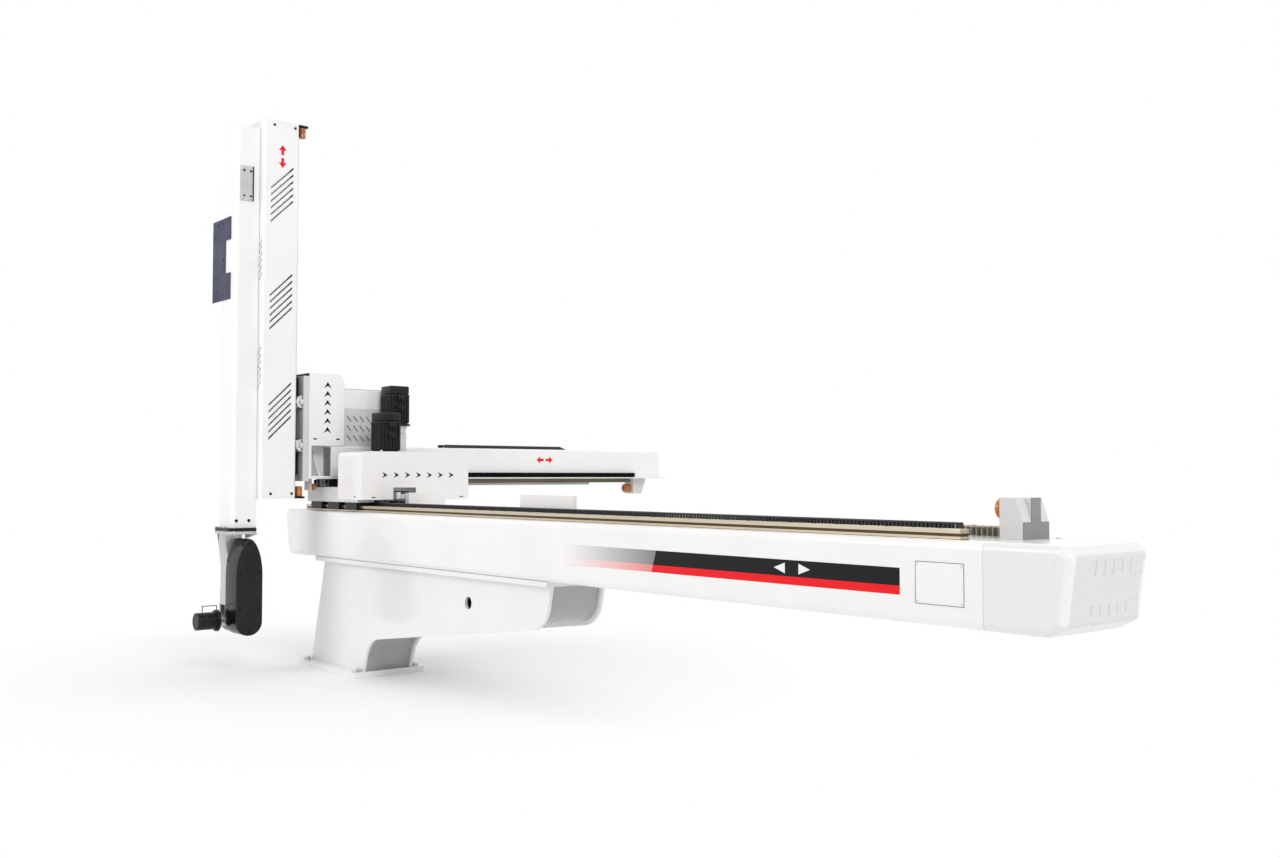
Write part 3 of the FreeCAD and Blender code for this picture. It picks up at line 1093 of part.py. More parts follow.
# Swinging head and the flange that turns on it
def make_tool():
    start = "wrist_x + fork_wall + fork_gap"
    hub = rod("x", start, "axis_y", "axis_z", "hub_radius", "wrist_width - 2*fork_wall - 2*fork_gap")
    axle = rod("x", "wrist_x", "axis_y", "axis_z", "wrist_axle_radius", "wrist_width")
    middle = "wrist_x + wrist_width/2"
    neck = rod("y", middle, "axis_y - tool_offset + tool_gap", "axis_z", "tool_neck_radius",
               "tool_offset - tool_gap")
    bore = rod("y", middle, "axis_y - tool_offset + tool_gap", "axis_z", "spigot_radius + pinion_bore_clearance",
               "spigot_length")
    keep("swing_head", cut(joined(hub, axle, neck), bore))
    face = "axis_y - tool_offset - tool_flange_thickness - tool_body_length"
    flange = rod("y", middle, "axis_y - tool_offset - tool_flange_thickness", "axis_z", "tool_flange_radius",
                 "tool_flange_thickness")
    body = rod("y", middle, face, "axis_z", "tool_body_radius", "tool_body_length")
    spigot = rod("y", middle, "axis_y - tool_offset", "axis_z", "spigot_radius",
                 "spigot_length + tool_gap - 1")
    holes = []
    for step in range(6):
        angle = math.pi / 3 * step
        holes.append(rod("y", "%s + tool_face_pcd/2*%.6f" % (middle, math.cos(angle)), face,
                         "axis_z + tool_face_pcd/2*%.6f" % math.sin(angle), "tool_face_hole_radius",
                         "tool_face_hole_depth"))
    keep("tool_flange", cut(joined(flange, body, spigot), *holes))


for make in (make_foot, make_pedestal, make_beam, make_caps, make_traverse_rails, make_cable_way,
             make_traverse_stop, make_carriage, make_drives, make_carriage_cover, make_crosswise_guides,
             make_crosswise_beam, make_crosswise_stops, make_head, make_head_covers, make_lift_drive, make_arm,
             make_slide, make_wrist, make_tool):
    make()
document.recompute()

for item in document.Objects:
    if "Invalid" in item.State or "Error" in item.State:
        raise RuntimeError("not built: " + item.Label)
os.makedirs("parts", exist_ok=True)
for name, item in NODES.items():
    shape = item.Shape
    if shape.isNull() or not shape.isValid() or shape.Volume <= 0:
        raise RuntimeError("no sound shape: " + name)
    shape.exportStep("parts/" + name + ".step")
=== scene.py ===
import json
import math
from itertools import product

import bmesh
import bpy
from bpy.props import FloatProperty, FloatVectorProperty, PointerProperty
from bpy.types import NodeSocket, Operator, Panel, PropertyGroup
from mathutils import Matrix, Vector


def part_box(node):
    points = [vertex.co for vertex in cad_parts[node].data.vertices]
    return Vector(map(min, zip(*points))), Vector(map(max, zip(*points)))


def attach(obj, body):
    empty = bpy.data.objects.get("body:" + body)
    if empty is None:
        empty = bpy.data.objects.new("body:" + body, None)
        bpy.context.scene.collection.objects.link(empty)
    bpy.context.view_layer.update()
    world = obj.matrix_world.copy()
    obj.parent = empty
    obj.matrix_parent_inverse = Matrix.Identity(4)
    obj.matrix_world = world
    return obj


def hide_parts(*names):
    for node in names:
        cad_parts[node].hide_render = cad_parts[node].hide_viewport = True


bl_info = {
    "name": "Take-out robot dressing",
    "version": (1, 0, 0),
    "blender": (4, 5, 0),
    "location": "3D View > Sidebar > Robot",
    "description": "Finishes and small parts of a gantry take-out robot",
    "category": "Object",
}

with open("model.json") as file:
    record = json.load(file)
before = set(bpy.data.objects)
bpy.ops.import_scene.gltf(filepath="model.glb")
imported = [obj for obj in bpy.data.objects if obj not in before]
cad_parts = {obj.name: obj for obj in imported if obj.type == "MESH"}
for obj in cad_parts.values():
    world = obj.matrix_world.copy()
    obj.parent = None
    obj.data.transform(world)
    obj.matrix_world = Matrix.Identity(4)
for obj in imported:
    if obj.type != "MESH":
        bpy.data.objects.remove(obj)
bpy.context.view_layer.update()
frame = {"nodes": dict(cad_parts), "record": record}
SLOTS = {part["node"]: part["material_slot"] for part in frame["record"]["subparts"]}

# All lengths are metres in the frame's own axes: x along the beam, y across it and z up.
TURN_TO = {
    "x": Matrix.Rotation(math.pi / 2, 4, "Y"),
    "y": Matrix.Rotation(-math.pi / 2, 4, "X"),
    "z": Matrix.Identity(4),
}
SHARP_ANGLE = math.radians(32)

# The noises of a finish: scale per metre, detail, and the values between which it sets in
CLOUDS, SMEARS, CHIPS = (5.0, 5.0, 0.35, 0.65), (14.0, 5.0, 0.3, 0.7), (60.0, 6.0, 0.48, 0.62)
GRAIN_DETAIL, GRAIN_HEIGHT, COAT_ROUGHNESS = 2.0, 0.0006, 0.06
EDGE_BEND = (0.985, 0.80)  # how far the rounded and the true normal agree where wear sets in and is full

# The far cap's sloped end: how far its crown lies under the cap's top and its foot over the cap's bottom,
# how far the crown stands out from the beam, and how much less the foot does
CAP_CROWN, CAP_FOOT, CAP_REACH, CAP_LEAN = 0.022, 0.024, 0.221, 0.022

# Nodes whose finish isn't that of their material slot, and slots whose finish has another name
OWN_FINISH = {
    "pedestal_webs": "web paint", "right_end_cap": "cap moulding", "traverse_stop": "stop paint",
    "arm_rails": "upright rail steel", "slide_rails": "upright rail steel", "traverse_rack": "rack steel",
    "crosswise_rack": "black steel", "joint_plate": "plate steel", "rear_cover": "rear moulding",
    "wrist_side_cover": "gloss black", "crosswise_rails": "olive steel with painted shade",
}
SLOT_FINISH = {"bright_aluminium": "machined aluminium"}
FINISHES = {}

# Lamps: name, place, width and watts; and the camera that the photo's vanishing points gave
LAMPS = (("key lamp", (-0.6, -6.4, 3.6), 3.4, 160.0), ("side lamp", (12.0, -2.2, 8.0), 5.0, 705.0),
         ("back lamp", (0.5, 4.6, 4.2), 3.5, 60.0))
LAMP_AIM = Vector((0.6, -0.1, 1.0))
CAMERA_PLACE = (4.9261, -2.5209, 0.8241)
CAMERA_TURN = (math.radians(92.205), 0.0, math.radians(50.32))
LENS, SENSOR = 35.0, 36.0


# Sizes and colours that a user may change

def length(name, description, default):
    return FloatProperty(name=name, description=description, default=default, min=0.0001, max=1.0,
                         subtype="DISTANCE", unit="LENGTH")


def share(name, description, default):
    return FloatProperty(name=name, description=description, default=default, min=0.0, max=1.0,
                         subtype="FACTOR")


def colour(name, description, default):
    return FloatVectorProperty(name=name, description=description, default=default, size=3, min=0.0,
                               max=1.0, subtype="COLOR")


class RobotPaints(PropertyGroup):
    white: colour("White paint", "Gloss powder coat of the beams and covers", (0.875, 0.866, 0.862))
    light_grey: colour("Light grey paint", "Coat of the saddle, brackets and gearboxes", (0.66, 0.655, 0.655))
    black: colour("Black paint", "Coat of the motors and wrist covers", (0.004, 0.004, 0.0045))
    blue: colour("Blue-grey paint", "Coat of the valve plate", (0.030, 0.036, 0.082))
    amber: colour("Amber bumper", "Cast polyurethane of the bumpers", (0.62, 0.20, 0.02))
    rail: colour("Rail steel", "Oiled ground steel of the rails and racks", (0.62, 0.55, 0.42))
    signal: colour("Red marks", "Red of the arrows and the band", (0.80, 0.008, 0.014))
    wear: share("Edge wear", "How much the coats are rubbed along their edges", 0.35)


class RobotDetails(PropertyGroup):
    plug_spacing: length("Rail plug spacing", "Distance between the bolt plugs of the traverse rails", 0.080)
    plug_radius: length("Rail plug radius", "Radius of the bolt plugs", 0.0065)
    link_pitch: length("Chain link", "Length of one drag chain link", 0.032)
    finger_pitch: length("Duct finger pitch", "Distance between the fingers of the cable duct", 0.0125)
    chevron_width: length("Chevron", "Width of the printed chevrons", 0.026)
    screw_radius: length("Screw head", "Radius of the cover screws' heads", 0.0055)
    print_thickness: length("Print", "How far the printed marks stand proud", 0.0004)


# Shapes

def edges_of(verts):
    return list({edge for vert in verts for edge in vert.link_edges})


def soften(bm, edges, width, segments=2):
    bmesh.ops.bevel(bm, geom=edges, offset=width, offset_type="OFFSET", affect="EDGES", segments=segments,
                    profile=0.5, material=-1, clamp_overlap=True)


def add_block(bm, low, high, width=0.0, segments=2, only=None):
    """Adds a box between two corners, with all its edges rounded or only those along one axis."""
    low, high = Vector(low), Vector(high)
    place = Matrix.Translation((low + high) / 2) @ Matrix.Diagonal((*(high - low), 1.0))
    edges = edges_of(bmesh.ops.create_cube(bm, size=1.0, matrix=place)["verts"])
    if only:
        along = "xyz".index(only)
        edges = [e for e in edges if abs((e.verts[0].co - e.verts[1].co).normalized()[along]) > 0.99]
    if width:
        soften(bm, edges, width, segments)


def add_rod(bm, centre, axis, radius, run, segments=24, width=0.0):
    """Adds a cylinder, or a prism of few segments, with its rims rounded to a width."""
    place = Matrix.Translation(centre) @ TURN_TO[axis]
    verts = bmesh.ops.create_cone(bm, cap_ends=True, segments=segments, radius1=radius, radius2=radius,
                                  depth=run, matrix=place)["verts"]
    if width:
        soften(bm, [e for e in edges_of(verts) if any(len(f.verts) > 4 for f in e.link_faces)], width)


def add_plate(bm, points, rise):
    """Adds a flat outline pushed along a vector, and gives back the verts of the pushed face."""
    face = bm.faces.new([bm.verts.new(point) for point in points])
    made = bmesh.ops.extrude_face_region(bm, geom=[face])["geom"]
    verts = [v for v in made if isinstance(v, bmesh.types.BMVert)]
    bmesh.ops.translate(bm, verts=verts, vec=rise)
    return verts


def add_turned(bm, outline, centre, axis, steps=40):
    """Adds a turned body from an outline of places along the axis with their radii."""
    seat = Matrix.Translation(centre) @ TURN_TO[axis]
    verts = [bm.verts.new(seat @ Vector((radius, 0.0, along))) for along, radius in outline]
    edges = [bm.edges.new(pair) for pair in zip(verts, verts[1:] + verts[:1])]
    bmesh.ops.spin(bm, geom=verts + edges, cent=centre, axis=seat.to_3x3() @ Vector((0, 0, 1)),
                   dvec=(0, 0, 0), angle=2 * math.pi, steps=steps, use_merge=True)
    bmesh.ops.remove_doubles(bm, verts=bm.verts, dist=1e-7)


def add_screw(bm, centre, axis, side, radius, height=0.0025):
    """Adds a socket head screw that stands on a face and looks to one side along an axis."""
    along = "xyz".index(axis)
    middle = Vector(centre)
    middle[along] += side * height / 2
    bmesh.ops.create_cone(bm, cap_ends=True, segments=24, radius1=radius, radius2=radius, depth=height,
                          matrix=Matrix.Translation(middle) @ TURN_TO[axis])

    def top():
        caps = [f for f in bm.faces if len(f.verts) > 4 and (f.calc_center_median() - middle).length < height]
        return max(caps, key=lambda f: side * f.calc_center_median()[along])
    soften(bm, list(top().edges), height * 0.3)
    socket = top()
    bmesh.ops.inset_region(bm, faces=[socket], thickness=radius * 0.42, use_even_offset=True)
    push = Vector((0, 0, 0))
    push[along] = -side * height * 0.8
    bmesh.ops.translate(bm, verts=list(socket.verts), vec=push)


def add_screws(bm, xs, ys, zs, axis, side, radius, height=0.0025):
    """Adds a screw at every combination of the places along x, y and z."""
    for centre in product(xs, ys, zs):
        add_screw(bm, centre, axis, side, radius, height)


def around(count, radius):
    """Places on a circle, as offsets along its two axes."""
    angles = (step * 2 * math.pi / count for step in range(count))
    return [(radius * math.cos(angle), radius * math.sin(angle)) for angle in angles]


def frame_bars(left, right, bottom, top, line):
    """The four bars of a rectangular frame: the whole bottom and top, and the sides between them."""
    return ((left, right, bottom, bottom + line), (left, right, top - line, top),
            (left, left + line, bottom + line, top - line), (right - line, right, bottom + line, top - line))


def add_loft(bm, rings):
    """Adds a closed skin over rings of points, from the lowest to the highest."""
    rows = [[bm.verts.new(point) for point in ring] for ring in rings]
    for lower, upper in zip(rows, rows[1:]):
        for step in range(len(lower)):
            other = (step + 1) % len(lower)
            bm.faces.new((lower[step], lower[other], upper[other], upper[step]))
    bm.faces.new(rows[0][::-1])
    bm.faces.new(rows[-1])


def work_on(node):
    """Starts a mesh, and gives it with the box of the node that it belongs to."""
    return bmesh.new(), *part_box(node)


def settle(bm, name, body, finish, stands_for=None):
    """Turns a mesh under work into a piece that rides on a body, and may stand for a node of the frame."""
    bmesh.ops.recalc_face_normals(bm, faces=bm.faces)
    for face in bm.faces:
        face.smooth = True
    for edge in bm.edges:
        if len(edge.link_faces) != 2 or edge.calc_face_angle(0.0) > SHARP_ANGLE:
            edge.smooth = False
    mesh = bpy.data.meshes.new(name)
    bm.to_mesh(mesh)
    bm.free()
    mesh.materials.append(FINISHES[finish].owner)
    piece = bpy.data.objects.new(name, mesh)
    bpy.context.scene.collection.objects.link(piece)
    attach(piece, body)
    if stands_for:
        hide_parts(stands_for)


# Finishes

class Nodes:
    """The node tree of a material or a world, with helpers that give back the socket of a result."""

    def __init__(self, owner):
        owner.use_nodes = True
        self.owner = owner
        self.tree = owner.node_tree
        self.tree.nodes.clear()

    def feed(self, socket, value):
        """Links a socket to an input, or sets the input to a number, a vector or a colour."""
        if isinstance(value, NodeSocket):
            self.tree.links.new(value, socket)
        else:
            socket.default_value = (*value, 1.0) if socket.type == "RGBA" else value

    def feed_all(self, node, inputs):
        for socket, value in inputs.items():
            self.feed(node.inputs[socket], value)
        return node

    def add(self, kind, inputs=None, **settings):
        node = self.tree.nodes.new("ShaderNode" + kind)
        for key, value in settings.items():
            setattr(node, key, value)
        return self.feed_all(node, inputs or {})

    def math(self, operation, *values, **settings):
        return self.add("Math", dict(enumerate(values)), operation=operation, **settings).outputs[0]

    def mix(self, part, first, second):
        return self.add("Mix", {0: part, 6: first, 7: second}, data_type="RGBA").outputs[2]

    def blend(self, part, first, second):
        return self.add("MixShader", {0: part, 1: first, 2: second}).outputs[0]

    def span(self, value, low, high, into_low=0.0, into_high=1.0):
        return self.add("MapRange", {"Value": value, "From Min": low, "From Max": high, "To Min": into_low,
                                     "To Max": into_high}).outputs["Result"]


class Surface(Nodes):
    """A material's nodes around one shader, in the piece's own coordinates."""

    def __init__(self, name):
        super().__init__(bpy.data.materials.new(name))
        self.shader = self.add("BsdfPrincipled")
        self.output = self.add("OutputMaterial", {"Surface": self.shader.outputs["BSDF"]})
        self.place = self.add("TexCoord").outputs["Object"]

    def along(self, axis):
        return self.add("SeparateXYZ", {0: self.place}).outputs[axis]

    def noise(self, scale, detail, stretch=(1.0, 1.0, 1.0)):
        place = self.add("Mapping", {"Vector": self.place, "Scale": stretch}).outputs[0]
        return self.add("TexNoise", {"Vector": place, "Scale": scale, "Detail": detail}).outputs["Fac"]

    def patches(self, scale, detail, low, high, into_low=0.0, into_high=1.0):
        return self.span(self.noise(scale, detail), low, high, into_low, into_high)

    def tint(self, part, paint):
        """Lays another colour over the colour so far."""
        base = self.shader.inputs["Base Color"]
        self.feed(base, self.mix(part, base.links[0].from_socket, paint))


def coated(name, paint, rough, metal=0.0, coat=0.0, mottle=0.05, grain=0.08, grain_scale=900.0,
           stretch=(1, 1, 1), rubbed=None, edge=0.0016, soft=0.0, marks=0.5, shine=0.5):
    """Makes a finish: a cloudy colour rubbed along its edges, with uneven gloss and a fine grain."""
    nodes = Surface(name)
    darker = tuple(part * (1.0 - mottle) for part in paint)
    cloudy = nodes.mix(nodes.patches(*CLOUDS), darker, paint)
    rounded = nodes.add("Bevel", {"Radius": edge}, samples=6).outputs["Normal"]
    flat = nodes.add("NewGeometry").outputs["True Normal"]
    bend = nodes.add("VectorMath", {0: rounded, 1: flat}, operation="DOT_PRODUCT").outputs["Value"]
    worn = nodes.math("MULTIPLY", nodes.span(bend, *EDGE_BEND), nodes.patches(*CHIPS), use_clamp=True)
    worn = nodes.math("MULTIPLY", worn, bpy.context.scene.robot_paints.wear, use_clamp=True)
    change = marks * 0.4
    gloss = nodes.patches(*SMEARS, max(0.02, rough * (1 - change)), min(1.0, rough * (1 + change)))
    bump = nodes.add("Bump", {"Strength": grain, "Distance": GRAIN_HEIGHT, "Normal": rounded,
                              "Height": nodes.noise(grain_scale, GRAIN_DETAIL, stretch)})
    inputs = {"Base Color": nodes.mix(worn, cloudy, rubbed or darker), "Roughness": gloss, "Metallic": metal,
              "Normal": bump.outputs["Normal"], "Coat Weight": coat, "Coat Roughness": COAT_ROUGHNESS,
              "Specular IOR Level": shine}
    if soft:
        inputs.update({"Subsurface Weight": soft, "Subsurface Radius": (0.012, 0.005, 0.001)})
    nodes.feed_all(nodes.shader, inputs)
    FINISHES[name] = nodes
    return nodes


def tint_near(name, axis, centre, reach, paint):
    """Tints a finish wherever its place along an axis is within reach of a centre."""
    nodes = FINISHES[name]
    nodes.tint(nodes.math("COMPARE", nodes.along(axis), centre, reach), paint)


def cap_end():
    """The far cap's box, the level of its sloped end's crown, and how far the end leans per metre."""
    low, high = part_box("right_end_cap")
    crown = high.z - CAP_CROWN
    return low, high, crown, CAP_LEAN / (crown - low.z - CAP_FOOT)


def shade_cap_end_flat():
    """Tints the flat of the far cap's sloped end darker, as painted shade."""
    width, depth, reach = 0.285, 0.0010, 0.0025
    low, high, crown, lean = cap_end()
    nodes = FINISHES["cap moulding"]
    upright = nodes.math("MULTIPLY_ADD", nodes.along("Z"), -lean, nodes.along("X"))
    flat = nodes.math("COMPARE", upright, low.x + CAP_REACH - lean * crown - depth, reach)
    inside = nodes.math("COMPARE", nodes.along("Y"), (low.y + high.y) / 2, width / 2)
    # Painted shade: the flat of the sloped end tinted darker grey
    nodes.tint(nodes.math("MULTIPLY", flat, inside), (0.67, 0.665, 0.662))


def band_finish(paints, low, high, border):
    """The coat of the band on the beam: black over red, both fading out of the white towards the arm."""
    fade_run, fade_top, slant = 0.45, 0.75, 0.32
    nodes = coated("band print", paints.white, 0.4, shine=0.2)
    fade = nodes.span(nodes.along("X"), low.x, low.x + fade_run, 0.0, fade_top)
    leaning = nodes.math("MULTIPLY_ADD", nodes.along("Z"), -slant, nodes.along("X"))
    solid = nodes.math("GREATER_THAN", leaning, low.x + fade_run - 0.001 - slant * high.z)
    upper = nodes.math("GREATER_THAN", nodes.along("Z"), border)
    stripes = nodes.mix(upper, paints.signal, (0.003, 0.003, 0.0035))
    seen = nodes.mix(nodes.math("MAXIMUM", fade, solid), paints.white, stripes)
    nodes.feed(nodes.shader.inputs["Base Color"], seen)


class ROBOT_OT_finishes(Operator):
    """Makes the coats, metals and plastics and puts them on the frame's nodes"""
    bl_idname = "robot.finishes"
    bl_label = "Finishes"

    def execute(self, context):
        paints = context.scene.robot_paints
        bare = (0.42, 0.42, 0.43)
        moulded = {"rough": 0.3, "coat": 0.15, "grain_scale": 700}
        printed = {"rough": 0.45, "grain": 0.02, "shine": 0.2}
        steel, fine_steel = {"metal": 1.0, "edge": 0.0008}, {"metal": 1.0, "edge": 0.0006}
        coated("white paint", paints.white, 0.22, coat=0.35, mottle=0.035, grain=0.035, grain_scale=420,
               rubbed=(0.5, 0.5, 0.5))
        coated("white moulding", paints.white, mottle=0.03, grain=0.03, **moulded)
        coated("light grey paint", paints.light_grey, 0.38, coat=0.1, mottle=0.08, grain=0.1, rubbed=bare)
        coated("black paint", paints.black, 0.38, mottle=0.3, grain=0.10, grain_scale=760, shine=0.3,
               rubbed=(0.09, 0.09, 0.095))
        coated("gloss black", paints.black, 0.2, coat=0.08, mottle=0.3, grain=0.02, grain_scale=400,
               rubbed=(0.06, 0.06, 0.065), marks=0.3, shine=0.3)
        coated("blue paint", paints.blue, 0.45, mottle=0.12, grain=0.06, rubbed=bare, shine=0.25)
        coated("rail steel", paints.rail, 0.3, mottle=0.07, grain=0.05, grain_scale=60, stretch=(1, 40, 40),
               rubbed=(0.8, 0.77, 0.66), marks=0.2, **steel)
        coated("rack steel", (0.42, 0.39, 0.33), 0.36, mottle=0.15, grain=0.08, rubbed=(0.5, 0.5, 0.48),
               **fine_steel)
        # Partly painted shade: the crosswise rails' oiled olive steel, made much darker for the shade under
        # the cross beam
        coated("olive steel with painted shade", (0.13, 0.115, 0.075), 0.34, mottle=0.1, grain=0.06, rubbed=(0.5, 0.5, 0.45),
               **fine_steel)
        coated("plate steel", (0.56, 0.56, 0.57), 0.34, mottle=0.1, grain=0.10, rubbed=(0.6, 0.6, 0.6),
               **steel)
        coated("upright rail steel", (0.62, 0.62, 0.62), 0.28, mottle=0.06, grain=0.05, grain_scale=60,
               stretch=(40, 40, 1), rubbed=(0.7, 0.7, 0.7), **steel)
        coated("gear steel", (0.36, 0.36, 0.37), 0.3, mottle=0.2, grain=0.12, rubbed=(0.7, 0.7, 0.7), **steel)
        coated("black steel", (0.02, 0.02, 0.022), 0.32, metal=0.8, mottle=0.3, grain=0.1,
               rubbed=(0.3, 0.3, 0.3), edge=0.0006)
        coated("zinc steel", (0.62, 0.62, 0.60), 0.3, mottle=0.14, rubbed=(0.8, 0.8, 0.8), **steel)
        coated("machined aluminium", (0.72, 0.73, 0.74), 0.26, mottle=0.08, grain=0.14, grain_scale=1400,
               rubbed=(0.9, 0.9, 0.9), **steel)
        coated("cast aluminium", (0.60, 0.60, 0.59), 0.30, metal=1.0, mottle=0.08, grain=0.16,
               grain_scale=420, rubbed=(0.85, 0.85, 0.86), edge=0.0030, marks=0.3)
        coated("black plastic", (0.018, 0.018, 0.019), 0.5, mottle=0.25, grain=0.18, grain_scale=640,
               rubbed=(0.07, 0.07, 0.07), edge=0.0010)
        coated("amber urethane", paints.amber, 0.2, coat=0.3, mottle=0.35, grain=0.06, soft=0.35,
               rubbed=(0.7, 0.35, 0.1))
        coated("belt rubber", (0.022, 0.022, 0.023), 0.62, mottle=0.2, grain=0.3, grain_scale=300)
        coated("black print", (0.004, 0.004, 0.0045), mottle=0.1, **printed)
        coated("red print", paints.signal, mottle=0.05, **printed)
        coated("white print", (0.85, 0.85, 0.85), 0.35, mottle=0.05, grain=0.03)
        # Painted shade: the far cap's ribs get a darker copy of the white moulding, like the cap itself
        coated("cap rib with painted shade", (0.80, 0.795, 0.79), mottle=0.01, grain=0.02, **moulded)
        coated("plate print", (0.86, 0.86, 0.85), 0.35, mottle=0.05, grain=0.05)
        # Painted shade: a darker copy of the white moulding for the far end cap, so that it shines no
        # brighter than the beam under the lamps
        coated("cap moulding", (0.79, 0.783, 0.78), mottle=0.01, grain=0.02, **moulded)
        coated("stop paint", paints.light_grey, 0.36, mottle=0.06, grain=0.05)
        # Painted shade: the pedestal webs' white paint is made darker because they stand in shade under the
        # beam
        coated("web paint", (0.44, 0.435, 0.435), 0.3, coat=0.1, mottle=0.06, grain=0.04,
               rubbed=(0.6, 0.6, 0.6))
        rear = coated("rear moulding", paints.white, mottle=0.03, grain=0.03, **moulded)
        grey_below, skin, seam, groove, foot = 1.120, 0.0015, 0.0012, 0.0037, 0.0011
        rear.tint(rear.math("LESS_THAN", rear.along("Z"), grey_below), paints.light_grey)
        shade_cap_end_flat()
        # Painted shade: the traverse stop's +x face tinted dark grey
        tint_near("stop paint", "X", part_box("traverse_stop")[1].x, skin, (0.23, 0.23, 0.23))
        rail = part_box("traverse_rails")[0].z
        # Painted shade: a dark band along the traverse rails' groove and a darker line along their foot on
        # the beam
        tint_near("rail steel", "Z", rail + 0.0105, groove, (0.10, 0.065, 0.035))
        tint_near("rail steel", "Z", rail + 0.0001, foot, (0.16, 0.10, 0.05))
        for finish, end in zip(("white moulding", "cap moulding"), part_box("main_beam")):
            tint_near(finish, "X", end.x, seam, (0.50, 0.49, 0.49))
        for node, slot in SLOTS.items():
            finish = OWN_FINISH.get(node, SLOT_FINISH.get(slot, slot.replace("_", " ")))
            materials = frame["nodes"][node].data.materials
            materials.clear()
            materials.append(FINISHES[finish].owner)
        return {"FINISHED"}


# Foot and beam

class ROBOT_OT_anchor_bolts(Operator):
    """Hexagon bolts with washers that hold the foot down"""
    bl_idname = "robot.anchor_bolts"
    bl_label = "Anchor bolts"

    def execute(self, context):
        bm, low, high = work_on("anchor_bolts")
        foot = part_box("foot_plate")[1].z
        washer, thick, bore = 0.019, 0.0030, 0.0102
        head_radius, crown_radius, chamfer = 0.015, 0.0115, 0.0012
        head = high.z - foot - thick
        outline = [(0.0, bore), (0.0, washer), (0.0026, washer), (thick, washer - 0.0006), (thick, bore)]
        for x, y in product((low.x + washer, high.x - washer), (low.y + washer, high.y - washer)):
            add_turned(bm, outline, (x, y, foot), "z", 32)
            add_rod(bm, (x, y, high.z - head / 2), "z", head_radius, head, 6, chamfer)
            add_rod(bm, (x, y, high.z), "z", crown_radius, chamfer)
        settle(bm, "hex_anchor_bolts", "frame", "zinc steel", "anchor_bolts")
        return {"FINISHED"}


class ROBOT_OT_beam_marks(Operator):
    """The band along the beam's near face, its two arrows and the bare plate beside it"""
    bl_idname = "robot.beam_marks"
    bl_label = "Beam marks"

    def execute(self, context):
        proud = context.scene.robot_details.print_thickness
        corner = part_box("main_beam")[0]
        face = corner.y
        band_border, arrow_level = corner.z + 0.0866, corner.z + 0.1075
        low, high = corner + Vector((1.956, -proud, 0.0654)), corner + Vector((3.294, 0.0, 0.129))
        band_finish(context.scene.robot_paints, low, high, band_border)
        bm = bmesh.new()
        add_block(bm, low, high)
        settle(bm, "beam_band", "frame", "band print")
        bm = bmesh.new()
        tip, tail, half = 0.024, 0.016, 0.014
        for along, way in ((2.905, -1), (2.985, 1)):
            x = corner.x + along
            add_plate(bm, [(x + way * tip, face - proud, arrow_level),
                           (x - way * tail, face - proud, arrow_level + half),
                           (x - way * tail, face - proud, arrow_level - half)], (0, -proud, 0))
        settle(bm, "band_arrows", "frame", "white print")
        bm = bmesh.new()
        low, high = corner + Vector((3.340, -0.0008, 0.0495)), corner + Vector((3.476, 0.0, 0.148))
        add_block(bm, low, high, 0.0003, 1)
        settle(bm, "bare_plate", "frame", "plate print")
        bm = bmesh.new()
        for left, right, bottom, top in frame_bars(low.x, high.x, low.z, high.z, 0.0011):
            add_block(bm, (left, low.y - 0.0003, bottom), (right, low.y + 0.0001, top))
        settle(bm, "plate_border", "frame", "black print")
        bm = bmesh.new()
        inset = 0.006
        add_screws(bm, (low.x + inset, high.x - inset), (low.y,), (low.z + inset, high.z - inset), "y", -1,
                   0.0022, 0.001)
        settle(bm, "plate_rivets", "frame", "zinc steel")
        return {"FINISHED"}


class ROBOT_OT_rail_plugs(Operator):
    """Plugs over the bolts of the traverse rails"""
    bl_idname = "robot.rail_plugs"
    bl_label = "Rail plugs"

    def execute(self, context):
        details = context.scene.robot_details
        bm, low, high = work_on("traverse_rails")
        first, margins, rail_middle, thick = 0.03, 0.04, 0.017, 0.0006
        count = int((high.x - low.x - margins) / details.plug_spacing) + 1
        for y, step in product((low.y + rail_middle, high.y - rail_middle), range(count)):
            x = low.x + first + step * details.plug_spacing
            add_rod(bm, (x, y, high.z + 0.0001), "z", details.plug_radius, thick, 20, thick / 3)
        settle(bm, "rail_bolt_plugs", "frame", "black steel")
        return {"FINISHED"}


class ROBOT_OT_cable_duct(Operator):
    """Slotted duct with its fingers and lid"""
    bl_idname = "robot.cable_duct"
    bl_label = "Cable duct"

    def execute(self, context):
        pitch = context.scene.robot_details.finger_pitch
        bm, low, high = work_on("cable_duct")
        wall, end_wall, floor, lid, lip, lap, finger = 0.0016, 0.002, 0.006, 0.005, 0.0006, 0.001, 0.62
        add_block(bm, low, (high.x, high.y, low.z + floor), 0.0005, 1)
        add_block(bm, (low.x, low.y - lip, high.z - lid), (high.x, high.y + lip, high.z), 0.0012)
        for step, y in product(range(int((high.x - low.x) / pitch)), (low.y, high.y - wall)):
            x = low.x + end_wall + step * pitch
            add_block(bm, (x, y, low.z + floor - lap), (x + pitch * finger, y + wall, high.z - lid + lap))
        for x in (low.x, high.x - end_wall):
            add_block(bm, (x, low.y, low.z), (x + end_wall, high.y, high.z - end_wall))
        settle(bm, "slotted_duct", "frame", "black plastic", "cable_duct")
        return {"FINISHED"}


def add_link(bm, start, end, near, far, low, high):
    """Adds a chain link along x: two side plates with their pivots, and two cross bars."""
    plate, gap, rounding, bar, skin = 0.0045, 0.002, 0.0022, 0.003, 0.0006
    pivot, pivot_run = (high - low) * 0.275, 0.0056
    for y in (near, far - plate):
        add_block(bm, (start, y, low), (end - gap, y + plate, high), rounding)
        add_rod(bm, (end - 2 * gap, y + plate / 2, (low + high) / 2), "y", pivot, pivot_run, 16)
    for bottom, top in ((high - bar, high - skin), (low + skin, low + bar)):
        add_block(bm, (start + 0.008, near + 0.004, bottom), (end - 0.010, far - 0.004, top), skin, 1)


